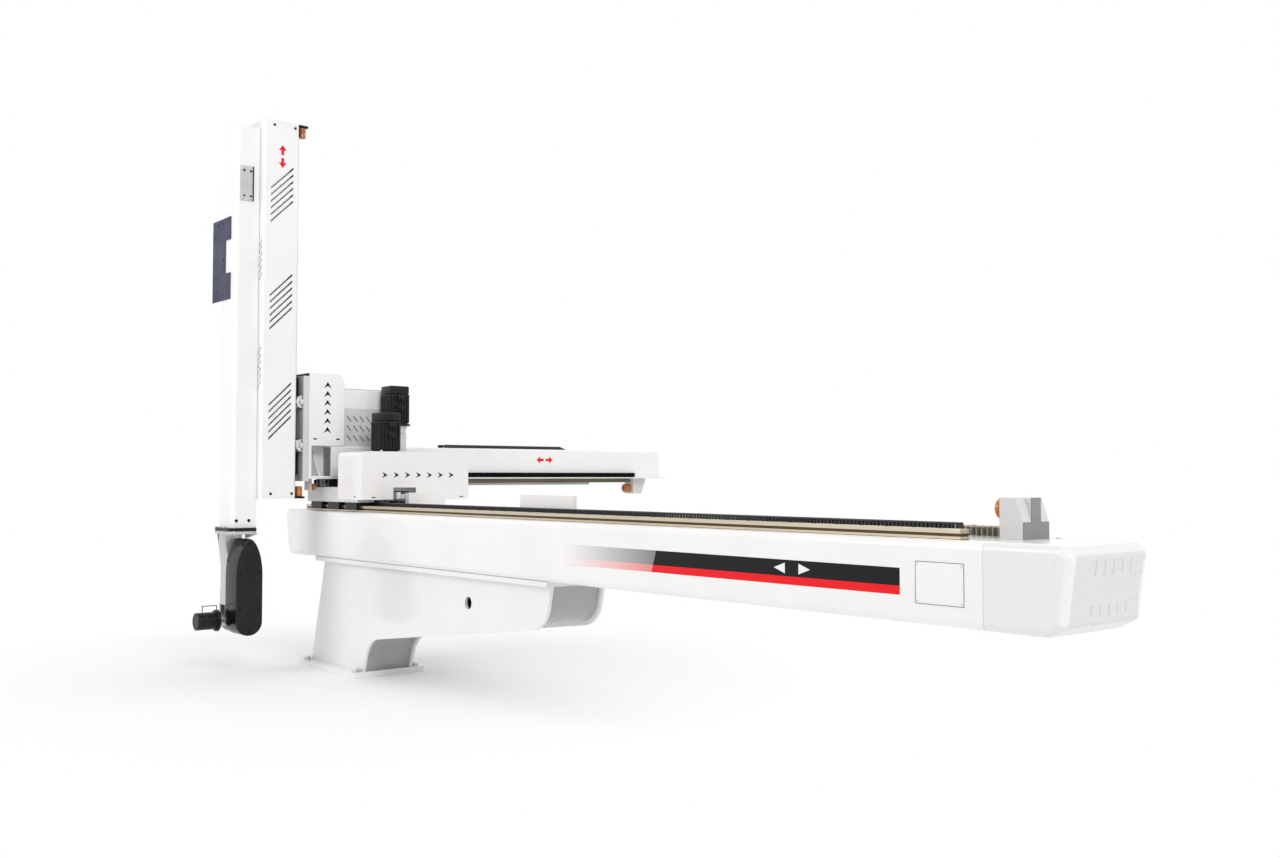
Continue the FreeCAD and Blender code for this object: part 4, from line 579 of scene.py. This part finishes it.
class ROBOT_OT_drag_chains(Operator):
    """The links of the two drag chains"""
    bl_idname = "robot.drag_chains"
    bl_label = "Drag chains"

    def execute(self, context):
        pitch = context.scene.robot_details.link_pitch
        bm, low, high = work_on("drag_chain")
        gap_between = 0.003
        run = (high.z - low.z - gap_between) / 2
        count = int((high.x - low.x - run) / pitch)
        for step, bottom in product(range(count), (low.z, high.z - run)):
            x = low.x + step * pitch
            add_link(bm, x, x + pitch, low.y, high.y, bottom, bottom + run)
        bend = low.x + count * pitch
        middle = (low + high) / 2
        add_rod(bm, ((bend + high.x) / 2 - gap_between, middle.y, middle.z), "y", high.z - middle.z - 0.0005,
                high.y - low.y, 32, 0.002)
        settle(bm, "beam_chain_links", "frame", "black plastic", "drag_chain")
        bm, low, high = work_on("top_drag_chain")
        ramp, plate, gap, rounding, bar, inset, skin = 0.04, 0.005, 0.002, 0.0022, 0.003, 0.004, 0.0006
        count = int((high.y - low.y - ramp) / pitch)
        for step in range(count):
            y = low.y + step * pitch
            for x in (low.x, high.x - plate):
                add_block(bm, (x, y, low.z), (x + plate, y + pitch - gap, high.z), rounding)
            add_block(bm, (low.x + inset, y + 0.008, high.z - bar),
                      (high.x - inset, y + pitch - 0.010, high.z - skin), skin, 1)
            add_block(bm, (low.x + inset, y + gap, low.z), (high.x - inset, y + pitch - gap, low.z + bar))
        end = low.y + count * pitch
        add_plate(bm, [(low.x, end, low.z), (low.x, high.y, low.z), (low.x, high.y - ramp, high.z),
                       (low.x, end, high.z)], (high.x - low.x, 0, 0))
        settle(bm, "top_chain_links", "crosswise", "black plastic", "top_drag_chain")
        return {"FINISHED"}


def add_bumper(bm, centre, axis, side, radius, run):
    """Adds a turned bumper with a bore and a groove, from its seat to one side."""
    bore, groove = radius * 0.28, radius * 0.07
    outline = [(0.0, bore), (0.0, radius - 0.002), (0.002, radius), (run * 0.45, radius),
               (run * 0.5, radius - groove), (run * 0.55, radius), (run - 0.003, radius),
               (run, radius - 0.003), (run, radius * 0.30), (run * 0.55, bore)]
    add_turned(bm, [(side * along, reach) for along, reach in outline], centre, axis)


class ROBOT_OT_bumpers(Operator):
    """Amber bumpers with their bores and steel screws"""
    bl_idname = "robot.bumpers"
    bl_label = "Bumpers"

    def execute(self, context):
        bm, low, high = work_on("traverse_bumper")
        middle = (low + high) / 2
        radius, screw, screw_run = 0.024, 0.0062, 0.014
        add_bumper(bm, (high.x, middle.y, middle.z), "x", -1, radius, high.x - low.x)
        settle(bm, "beam_end_bumper", "frame", "amber urethane", "traverse_bumper")
        bm = bmesh.new()
        add_rod(bm, (high.x - 0.008, middle.y, middle.z), "x", screw, screw_run, 20, 0.001)
        settle(bm, "beam_bumper_screw", "frame", "black steel")
        bm, low, high = work_on("crosswise_bumpers")
        x, far_radius, near_radius = (low.x + high.x) / 2, 0.022, 0.014
        add_bumper(bm, (x, high.y, low.z + far_radius), "y", -1, far_radius, 0.034)
        add_bumper(bm, (x, low.y, high.z - near_radius), "y", 1, near_radius, 0.024)
        settle(bm, "cross_beam_bumpers", "crosswise", "amber urethane", "crosswise_bumpers")
        bm, low, high = work_on("arm_bumpers")
        x, y, plate, radius, reach = (low.x + high.x) / 2, high.y - 0.020, 0.009, 0.016, 0.052
        for z, side in ((low.z + plate, 1), (high.z - plate, -1)):
            add_bumper(bm, (x, y, z), "z", side, radius, reach - plate)
        settle(bm, "arm_end_bumpers", "arm", "amber urethane", "arm_bumpers")
        bm = bmesh.new()
        for z in (low.z, high.z - plate):
            add_block(bm, (low.x, low.y, z), (high.x, high.y, z + plate), 0.0008, 1)
        settle(bm, "bumper_brackets", "arm", "black paint")
        return {"FINISHED"}


# Drives

def add_motor(bm, low, high):
    """Adds a servo motor: flange, finned core, cap with its collar, and two sockets on the +x side."""
    size, fins = high.x - low.x, 7
    flange, cap = low.z + 0.008, high.z - 0.038

    def layer(inset, bottom, top, *rounding):
        add_block(bm, (low.x + inset, low.y + inset, bottom), (high.x - inset, high.y - inset, top),
                  *rounding)
    layer(0.0, low.z, flange, 0.009, 4, "z")
    layer(0.0075, flange - 0.001, cap + 0.001, 0.010, 3, "z")
    layer(0.005, cap, high.z, 0.007, 3)
    layer(0.003, cap - 0.006, cap, 0.006, 3, "z")
    thin, out, root = size * 0.040, 0.0025, 0.012
    for step in range(fins):
        offset = size * 0.13 + step * size * 0.74 / (fins - 1)
        for start, end in (((low.x + offset - thin, low.y + out), (low.x + offset + thin, low.y + root)),
                           ((low.x + offset - thin, high.y - root), (low.x + offset + thin, high.y - out)),
                           ((low.x + out, low.y + offset - thin), (low.x + root, low.y + offset + thin)),
                           ((high.x - root, low.y + offset - thin), (high.x - out, low.y + offset + thin))):
            add_block(bm, (*start, flange + 0.004), (*end, cap - 0.004), 0.0013, 1)
    tall, plug, plug_run = 0.024, 0.0085, 0.010
    for z in (cap - 0.030, cap - 0.072):
        add_block(bm, (high.x - 0.004, low.y + size * 0.36, z),
                  (high.x + plug_run, low.y + size * 0.64, z + tall), 0.003)
        add_rod(bm, (high.x + 0.012, low.y + size / 2, z + tall / 2), "x", plug, plug_run, 20, 0.001)


def add_gearbox(bm, x, y, bottom, top):
    """Adds a square planetary gearbox: five stages round a core, with screws on both x sides."""
    end, waist, gap, rim, neck = 0.012, 0.034, 0.002, 0.040, 0.037
    for start, stop, half in ((bottom, bottom + end, rim), (bottom + end, bottom + waist, neck),
                              (bottom + waist + gap, top - waist - gap, 0.0385),
                              (top - waist, top - end, neck), (top - end, top, rim),
                              (bottom + 0.004, top - 0.004, 0.034)):
        add_block(bm, (x - half, y - half, start), (x + half, y + half, stop), 0.006, 3, "z")
    level = (end + waist) / 2
    for side in (-1, 1):
        add_screws(bm, (x + side * neck,), (y - 0.027, y + 0.027), (bottom + level, top - level), "x", side,
                   0.0035, 0.002)


class ROBOT_OT_motors(Operator):
    """Servo motors with their fins, caps, sockets and flange screws"""
    bl_idname = "robot.motors"
    bl_label = "Motors"

    def execute(self, context):
        inset, flange = 0.010, 0.008
        gearboxes = bmesh.new()
        for node, bottom in (("traverse_motor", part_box("servo_gearboxes")[0].z),
                             ("crosswise_motor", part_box("crosswise_bracket")[1].z)):
            bm, low, high = work_on(node)
            add_motor(bm, low, high)
            settle(bm, "finned_" + node, "carriage", "black paint", node)
            bm = bmesh.new()
            add_screws(bm, (low.x + inset, high.x - inset), (low.y + inset, high.y - inset),
                       (low.z + flange,), "z", 1, 0.0055, 0.006)
            settle(bm, node + "_screws", "carriage", "zinc steel")
            add_gearbox(gearboxes, (low.x + high.x) / 2, (low.y + high.y) / 2, bottom, low.z)
        settle(gearboxes, "planetary_gearboxes", "carriage", "light grey paint", "servo_gearboxes")
        return {"FINISHED"}


def wheel_outline(radius, width, hub):
    """A belt wheel's outline: the hub, a web set back behind hub and rim, and a low flange on each side."""
    half, back, rim = width / 2, 0.003, radius - 0.0012
    side = [(-half, hub), (-half, radius * 0.42), (-half + back, radius * 0.46),
            (-half + back, radius * 0.80), (-half, radius * 0.84), (-half, radius), (-half + 0.002, radius),
            (-half + back, rim)]
    return side + [(-along, reach) for along, reach in reversed(side)]


class ROBOT_OT_wheels(Operator):
    """Belt wheels on the head, with axles and screws"""
    bl_idname = "robot.wheels"
    bl_label = "Belt wheels"

    def execute(self, context):
        axle, bore, count = 0.0079, 0.004, 6
        for body, radius, width in (("low_idler", 0.027, 0.034), ("high_idler", 0.027, 0.034),
                                    ("drive_pulley", 0.038, 0.038)):
            bm, low, high = work_on(body)
            middle = (low + high) / 2
            start = high.x - width if body == "drive_pulley" else low.x + 0.007
            centre = Vector((start + width / 2, middle.y, middle.z))
            add_turned(bm, wheel_outline(radius, width, bore), centre, "x", 48)
            add_rod(bm, middle, "x", axle, high.x - low.x - 0.0004, 24, 0.0008)
            for (y, z), side in product(around(count, radius * 0.62), (-1, 1)):
                at = centre + Vector((side * (width / 2 - 0.0032), y, z))
                add_screw(bm, at, "x", side, 0.0028, 0.002)
            settle(bm, "turned_" + body, body, "machined aluminium", body)
        return {"FINISHED"}


# Printed marks and screws on the covers

CHEVRON = [(-0.5, 0.5), (0.5, 0.0), (-0.5, -0.5), (-0.12, 0.0)]


def arrow(tip):
    """An arrow's outline, as places along it and across it, from a little off its middle to its tip."""
    return [(0.026, -0.017), (tip, 0.0), (0.026, 0.017), (0.026, 0.006), (0.006, 0.006), (0.006, -0.006),
            (0.026, -0.006)]


def add_print(bm, x, points, proud):
    """Adds a printed mark on a face that looks along x, from places across and up."""
    add_plate(bm, [(x, y, z) for y, z in points], (proud, 0, 0))


class ROBOT_OT_chevrons(Operator):
    """Printed chevrons and arrows on the covers and beams"""
    bl_idname = "robot.chevrons"
    bl_label = "Printed marks"

    def execute(self, context):
        details = context.scene.robot_details
        proud = details.print_thickness
        bm, low, high = work_on("carriage_cover")
        size, pitch = details.chevron_width, 0.0523
        for step in range(7):
            y, z = low.y + 0.104 + step * pitch, low.z + 0.102
            add_print(bm, high.x, [(y + u * size, z + v * size) for u, v in CHEVRON], proud)
        settle(bm, "cover_chevrons", "carriage", "black print")
        bm, low, high = work_on("head_cover")
        size, pitch, squat = details.chevron_width * 1.32, 0.0386, 0.8
        for step in range(6):
            y, z = low.y + 0.084, low.z + 0.058 + step * pitch
            add_print(bm, high.x, [(y + v * size, z + u * size * squat) for u, v in CHEVRON], proud)
        settle(bm, "head_chevrons", "crosswise", "black print")
        bm, low, high = work_on("arm_cover")
        y, z = low.y + 0.0815, low.z + 1.4305
        for way in (-1, 1):
            add_print(bm, high.x, [(y + across, z + way * along) for along, across in arrow(0.0485)], proud)
        settle(bm, "arm_arrows", "arm", "red print")
        bm, low, high = work_on("crosswise_beam")
        x, y, z = low.x + 0.174, low.y + 1.120, high.z - 0.051
        for way in (-1, 1):
            add_print(bm, x, [(y + way * along, z + across) for along, across in arrow(0.0475)], proud)
        settle(bm, "beam_arrows", "crosswise", "red print")
        return {"FINISHED"}


def dress_cap_end():
    """Puts ribs above and below the panel of the far cap's sloped end, and a light grey frame round the panel
    as painted shade of its recess.
    """
    low, high, crown, lean = cap_end()
    middle, across = (low.z + high.z) / 2, (low.y + high.y) / 2
    recess = 0.0042

    def on_floor(y, z, out=0.0):
        return Vector((low.x + CAP_REACH - lean * (crown - z) - recess + out, across + y, z))
    bm = bmesh.new()
    half, pitch, proud = 0.0065, 0.036, 0.0034
    for start, end in ((middle + 0.0335, middle + 0.0640), (middle - 0.0560, middle - 0.0335)):
        for step in range(-2, 3):
            left, right = step * pitch - half, step * pitch + half
            shape = [on_floor(left, start), on_floor(right, start), on_floor(right, end), on_floor(left, end)]
            verts = add_plate(bm, shape, (proud, 0, 0))
            soften(bm, [e for e in edges_of(verts) if all(v in verts for v in e.verts)], 0.0030, 4)
    settle(bm, "end_cap_ribs", "frame", "cap rib with painted shade")
    bm = bmesh.new()
    # Painted shade: a light grey frame round the panel stands for the shade along the recess' edge
    wide, tall, line = 0.0935, 0.0285, 0.0018
    for left, right, bottom, top in frame_bars(-wide, wide, -tall, tall, line):
        corners = ((left, bottom), (right, bottom), (right, top), (left, top))
        add_plate(bm, [on_floor(y, middle + z, -0.0032) for y, z in corners], (0.0016, 0, 0))
    settle(bm, "end_panel_shade_frame", "frame", "light grey paint")


class ROBOT_OT_cover_screws(Operator):
    """Small screws of the covers, plates and end caps"""
    bl_idname = "robot.cover_screws"
    bl_label = "Cover screws"

    def execute(self, context):
        radius = context.scene.robot_details.screw_radius
        bm, low, high = work_on("carriage_cover")
        for y in (low.y + 0.053, high.y - 0.034):
            add_block(bm, (high.x - 0.0008, y - 0.009, low.z + 0.008),
                      (high.x + 0.0005, y + 0.009, low.z + 0.012), 0.0003, 1)
        add_screw(bm, (high.x - 0.060, low.y, low.z + 0.012), "y", -1, radius * 0.6)
        settle(bm, "carriage_cover_screws", "carriage", "black steel")
        bm = bmesh.new()
        for y, tall in ((low.y + 0.166, 0.030), (low.y + 0.190, 0.022)):
            add_block(bm, (high.x - 0.046, y, low.z + 0.001), (high.x - 0.012, y + 0.019, low.z + tall),
                      0.0015)
            add_block(bm, (high.x - 0.0125, y + 0.004, low.z + 0.005),
                      (high.x - 0.009, y + 0.015, low.z + tall - 0.008), 0.0008, 1)
        settle(bm, "window_connectors", "carriage", "plate print")
        bm, low, high = work_on("arm_cover")
        for x, side in ((high.x, 1), (low.x, -1)):
            add_screws(bm, (x,), (low.y + 0.045, high.y - 0.018), (low.z + 0.012, high.z - 0.012), "x", side,
                       radius)
        settle(bm, "arm_cover_screws", "arm", "black steel")
        bm, low, high = work_on("joint_plate")
        add_screws(bm, (high.x,), (low.y + 0.016, high.y - 0.012), (low.z + 0.020, high.z - 0.020), "x", 1,
                   0.0042, 0.0014)
        add_block(bm, (high.x - 0.0005, high.y - 0.004, low.z), (high.x + 0.0003, high.y, high.z))
        settle(bm, "joint_plate_screws", "slide", "black steel")
        bm, low, high = work_on("head_cover")
        for y in (low.y + 0.020, low.y + 0.125):
            add_block(bm, (high.x - 0.001, y, low.z + 0.016), (high.x + 0.0006, y + 0.016, low.z + 0.022),
                      0.0003, 1)
        settle(bm, "head_cover_clips", "crosswise", "black steel")
        bm, low, high = work_on("rear_cover")
        # Painted shade: a black sheet behind the rear cover's vents, for the shade inside the cover
        add_block(bm, (high.x - 0.011, low.y + 0.008, low.z + 0.006),
                  (high.x - 0.008, high.y - 0.008, low.z + 0.130))
        settle(bm, "vent_shade_sheet", "crosswise", "black print")
        bm, low, high = work_on("slide_tube")
        add_screws(bm, (high.x,), (low.y + 0.017, high.y - 0.030), (low.z + 0.030,), "x", 1, 0.0065)
        settle(bm, "slide_foot_screws", "slide", "black steel")
        bm, low, high = work_on("right_end_cap")
        add_screws(bm, (low.x + 0.030,), (low.y + 0.060, high.y - 0.060), (high.z,), "z", 1, radius)
        settle(bm, "end_cap_screws", "frame", "zinc steel")
        dress_cap_end()
        return {"FINISHED"}


# Wrist

def rounded_ring(x_start, x_end, y_start, y_end, radius, z, steps=7):
    """A level rectangle with rounded corners, as a loop of points."""
    points = []
    for x, y, first in ((x_end - radius, y_end - radius, 0), (x_start + radius, y_end - radius, 1),
                        (x_start + radius, y_start + radius, 2), (x_end - radius, y_start + radius, 3)):
        for step in range(steps + 1):
            angle = math.pi / 2 * (first + step / steps)
            points.append(Vector((x + radius * math.cos(angle), y + radius * math.sin(angle), z)))
    return points


class ROBOT_OT_wrist_housing(Operator):
    """The cast housing that narrows from the ring to the fork"""
    bl_idname = "robot.wrist_housing"
    bl_label = "Wrist housing"

    def execute(self, context):
        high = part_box("wrist_housing")[1]
        belt_low, belt_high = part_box("wrist_belt_cover")
        ring_low, ring_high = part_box("ring_flange")
        half, width, cheek, plate, steps = 0.052, 0.080, 0.014, 0.012, 12
        axis_y, axis_z = (belt_low.y + belt_high.y) / 2, belt_low.z + (belt_high.y - belt_low.y) / 2
        left, right, near, far = belt_low.x - width, belt_low.x, axis_y - half, axis_y + half
        mouth, neck, under = axis_z + 0.064, high.z - 0.170, high.z - plate
        fork_corner, ring_corner, ring_inset = 0.016, 0.024, 0.009
        rings = [rounded_ring(left, right, near, far, fork_corner, z) for z in (mouth, neck)]
        for step in range(1, steps + 1):
            part = step / steps
            ease = part * part * (3 - 2 * part)

            def between(start, end):
                return start + (end - start) * ease
            rings.append(rounded_ring(between(left, ring_low.x + ring_inset), right,
                                      between(near, ring_low.y + ring_inset),
                                      between(far, ring_high.y - ring_inset),
                                      between(fork_corner, ring_corner), neck + (under - neck) * part))
        bm = bmesh.new()
        add_loft(bm, rings)
        add_block(bm, (ring_low.x, ring_low.y, under), (ring_high.x, ring_high.y, high.z), 0.023, 5, "z")
        angles = [math.pi * step / 20 for step in range(21)]
        for x in (left, right - cheek):
            points = [(x, axis_y + half * math.cos(a), axis_z - half * math.sin(a)) for a in angles]
            points += [(x, near, mouth + 0.004), (x, far, mouth + 0.004)]
            add_plate(bm, points, (cheek, 0, 0))
        web = far - 0.028
        add_plate(bm, [(right - 0.001, web, under), (right - 0.001, web, high.z - 3 * plate),
                       (ring_high.x - 0.018, web, under)], (0, cheek, 0))
        settle(bm, "cast_wrist_housing", "slide", "cast aluminium", "wrist_housing")
        return {"FINISHED"}


class ROBOT_OT_wrist(Operator):
    """Turned and cast details of the wrist"""
    bl_idname = "robot.wrist"
    bl_label = "Wrist"

    def execute(self, context):
        self.add_covers()
        self.add_ring_screws()
        self.add_tool()
        return {"FINISHED"}

    def add_covers(self):
        low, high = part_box("wrist_belt_cover")
        middle, half = (low.y + high.y) / 2, (high.y - low.y) / 2
        straight, steps = 0.190, 24
        axis = low.z + half
        rise = high.z - axis - straight
        angles = [step * math.pi / steps for step in range(1, steps)]
        arch = [(half * math.cos(a) ** 1.15, straight + rise * math.sin(a)) for a in angles[:steps // 2 - 1]]
        foot = [(-half * math.cos(a), -half * math.sin(a)) for a in angles]
        shape = [(half, straight), *arch, (0.0, straight + rise), *((-y, z) for y, z in reversed(arch)),
                 (-half, straight), (-half, 0.0), *foot, (half, 0.0)]
        bm = bmesh.new()
        add_plate(bm, [(low.x, middle + y, axis + z) for y, z in shape], (high.x - low.x, 0, 0))
        soften(bm, [e for e in bm.edges if all(v.co.x > high.x - 1e-5 for v in e.verts)], 0.006, 4)
        settle(bm, "smooth_belt_cover", "slide", "gloss black", "wrist_belt_cover")
        bm = bmesh.new()
        for y, z in ((-0.040, 0.052), (0.040, 0.052), (-0.040, 0.200), (0.040, 0.200), (0.0, -0.042),
                     (0.0, straight + rise * 0.86)):
            add_screw(bm, (high.x, middle + y, axis + z), "x", 1, 0.0060, 0.0014)
        for z in (axis + 0.020, axis + 0.150, axis + 0.250):
            add_block(bm, (low.x + 0.010, low.y - 0.0004, z - 0.007),
                      (low.x + 0.016, low.y + 0.001, z + 0.007), 0.0003, 1)
        settle(bm, "belt_cover_screws", "slide", "black print")
        x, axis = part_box("wrist_side_cover")[0].x, low.z + 0.056
        bm = bmesh.new()
        for y, z in around(6, 0.034):
            add_screw(bm, (x, middle + y, axis + z), "x", -1, 0.0045)
        add_rod(bm, (x - 0.001, middle, axis), "x", 0.016, 0.002, 32, 0.0006)
        settle(bm, "side_cover_screws", "slide", "zinc steel")

    def add_ring_screws(self):
        bm, low, high = work_on("ring_flange")
        x_inset, y_inset = 0.014, 0.009
        add_screws(bm, (low.x + x_inset, (low.x + high.x) / 2, high.x - x_inset),
                   (low.y + y_inset, high.y - y_inset), (high.z,), "z", 1, 0.005, 0.005)
        settle(bm, "ring_screws", "slide", "zinc steel")

    def add_tool(self):
        bm, low, high = work_on("tool_flange")
        x, start, z = (low.x + high.x) / 2, low.y, (low.z + high.z) / 2
        outline = [(0.0004, 0.008), (0.0004, 0.0345), (0.0019, 0.036), (0.030, 0.036), (0.032, 0.034),
                   (0.036, 0.034), (0.038, 0.036), (0.078, 0.036), (0.080, 0.0345), (0.082, 0.0345),
                   (0.082, 0.0435), (0.0835, 0.045), (0.0925, 0.045), (0.094, 0.0435), (0.094, 0.0119),
                   (0.117, 0.0119), (0.117, 0.008)]
        add_turned(bm, outline, (x, start, z), "y", 56)
        settle(bm, "turned_tool_flange", "tool", "black paint", "tool_flange")
        bm = bmesh.new()
        for across, up in around(6, 0.022):
            add_rod(bm, (x + across, start + 0.0004, z + up), "y", 0.004, 0.0006, 20)
        for across, up in around(6, 0.0402):
            add_screw(bm, (x + across, start + 0.082, z + up), "y", -1, 0.0032, 0.003)
        add_rod(bm, (x, start + 0.0012, z), "y", 0.0078, 0.002, 28)
        settle(bm, "tool_face_holes", "tool", "black steel")
        bm = bmesh.new()
        wire, top = 0.0017, z + 0.062
        for along, foot in ((0.028, z + 0.033), (0.088, z + 0.042)):
            add_rod(bm, (x, start + along, (foot + top) / 2), "z", wire, top - foot, 12)
            bmesh.ops.create_uvsphere(bm, u_segments=12, v_segments=8, radius=wire,
                                      matrix=Matrix.Translation((x, start + along, top)))
        add_rod(bm, (x, start + 0.058, top), "y", wire, 0.060, 12)
        settle(bm, "tool_wire_clip", "tool", "black steel")


# Stage

class ROBOT_OT_stage(Operator):
    """Pale floor, white surround, soft lamps and the camera"""
    bl_idname = "robot.stage"
    bl_label = "Stage"

    def execute(self, context):
        scene = context.scene

        def place(name, data, at=(0.0, 0.0, 0.0), turn=(0.0, 0.0, 0.0)):
            item = bpy.data.objects.new(name, data)
            item.location, item.rotation_euler = at, turn
            scene.collection.objects.link(item)
            return item
        bm = bmesh.new()
        bmesh.ops.create_grid(bm, x_segments=1, y_segments=1, size=60.0)
        mesh = bpy.data.meshes.new("floor")
        bm.to_mesh(mesh)
        bm.free()
        nodes = Surface("floor")
        nodes.feed_all(nodes.shader, {"Base Color": (0.93, 0.93, 0.93), "Roughness": 0.9,
                                      "Specular IOR Level": 0.1})
        reach = nodes.add("VectorMath", {0: nodes.place}, operation="LENGTH").outputs["Value"]
        rays = nodes.add("LightPath").outputs
        seen = nodes.math("MAXIMUM", rays["Is Camera Ray"], rays["Is Glossy Ray"])
        clear = nodes.math("MULTIPLY", seen, nodes.span(reach, 0.35, 1.9))
        glow = nodes.add("Emission", {"Strength": 1.0}).outputs[0]
        nodes.feed(nodes.output.inputs["Surface"], nodes.blend(clear, nodes.shader.outputs["BSDF"], glow))
        mesh.materials.append(nodes.owner)
        floor = place("floor", mesh)
        scene.world = bpy.data.worlds.new("surround")
        nodes = Nodes(scene.world)
        lit = nodes.add("Background", {"Color": (1.0, 0.985, 0.98), "Strength": 0.60}).outputs[0]
        white = nodes.add("Background", {"Color": (1.0, 1.0, 1.0), "Strength": 1.0}).outputs[0]
        rays = nodes.add("LightPath").outputs
        seen = nodes.math("MAXIMUM", rays["Is Camera Ray"], rays["Is Glossy Ray"])
        seen = nodes.math("MAXIMUM", seen, rays["Is Transmission Ray"])
        nodes.add("OutputWorld", {"Surface": nodes.blend(seen, lit, white)})
        for name, at, size, power in LAMPS:
            lamp = bpy.data.lights.new(name, "AREA")
            lamp.size, lamp.energy = size, power
            place(name, lamp, at, (LAMP_AIM - Vector(at)).to_track_quat("-Z", "Y").to_euler())
        camera = bpy.data.cameras.new("photo camera")
        camera.lens, camera.sensor_width = LENS, SENSOR
        camera.clip_start, camera.clip_end = 0.05, 200.0
        scene.camera = place("photo camera", camera, CAMERA_PLACE, CAMERA_TURN)
        scene.view_settings.view_transform = "Standard"
        return {"FINISHED"}


OPERATORS = (ROBOT_OT_finishes, ROBOT_OT_anchor_bolts, ROBOT_OT_beam_marks, ROBOT_OT_rail_plugs,
             ROBOT_OT_cable_duct, ROBOT_OT_drag_chains, ROBOT_OT_bumpers, ROBOT_OT_motors, ROBOT_OT_wheels,
             ROBOT_OT_chevrons, ROBOT_OT_cover_screws, ROBOT_OT_wrist_housing, ROBOT_OT_wrist, ROBOT_OT_stage)


class ROBOT_PT_panel(Panel):
    """Sizes, colours and pieces of the robot"""
    bl_idname = "ROBOT_PT_panel"
    bl_label = "Take-out robot"
    bl_space_type = "VIEW_3D"
    bl_region_type = "UI"
    bl_category = "Robot"

    def draw(self, context):
        layout = self.layout
        for group in (context.scene.robot_paints, context.scene.robot_details):
            for name in group.__annotations__:
                layout.prop(group, name)
        for operator in OPERATORS:
            layout.operator(operator.bl_idname)


CLASSES = (RobotPaints, RobotDetails, *OPERATORS, ROBOT_PT_panel)


def register():
    for item in CLASSES:
        bpy.utils.register_class(item)
    bpy.types.Scene.robot_paints = PointerProperty(type=RobotPaints)
    bpy.types.Scene.robot_details = PointerProperty(type=RobotDetails)


def unregister():
    del bpy.types.Scene.robot_details
    del bpy.types.Scene.robot_paints
    for item in reversed(CLASSES):
        bpy.utils.unregister_class(item)


def main():
    register()
    bpy.ops.robot.finishes()
    bpy.ops.robot.anchor_bolts()
    bpy.ops.robot.beam_marks()
    bpy.ops.robot.rail_plugs()
    bpy.ops.robot.cable_duct()
    bpy.ops.robot.drag_chains()
    bpy.ops.robot.bumpers()
    bpy.ops.robot.motors()
    bpy.ops.robot.wheels()
    bpy.ops.robot.chevrons()
    bpy.ops.robot.cover_screws()
    bpy.ops.robot.wrist_housing()
    bpy.ops.robot.wrist()
    bpy.ops.robot.stage()


if __name__ == "__main__":
    main()
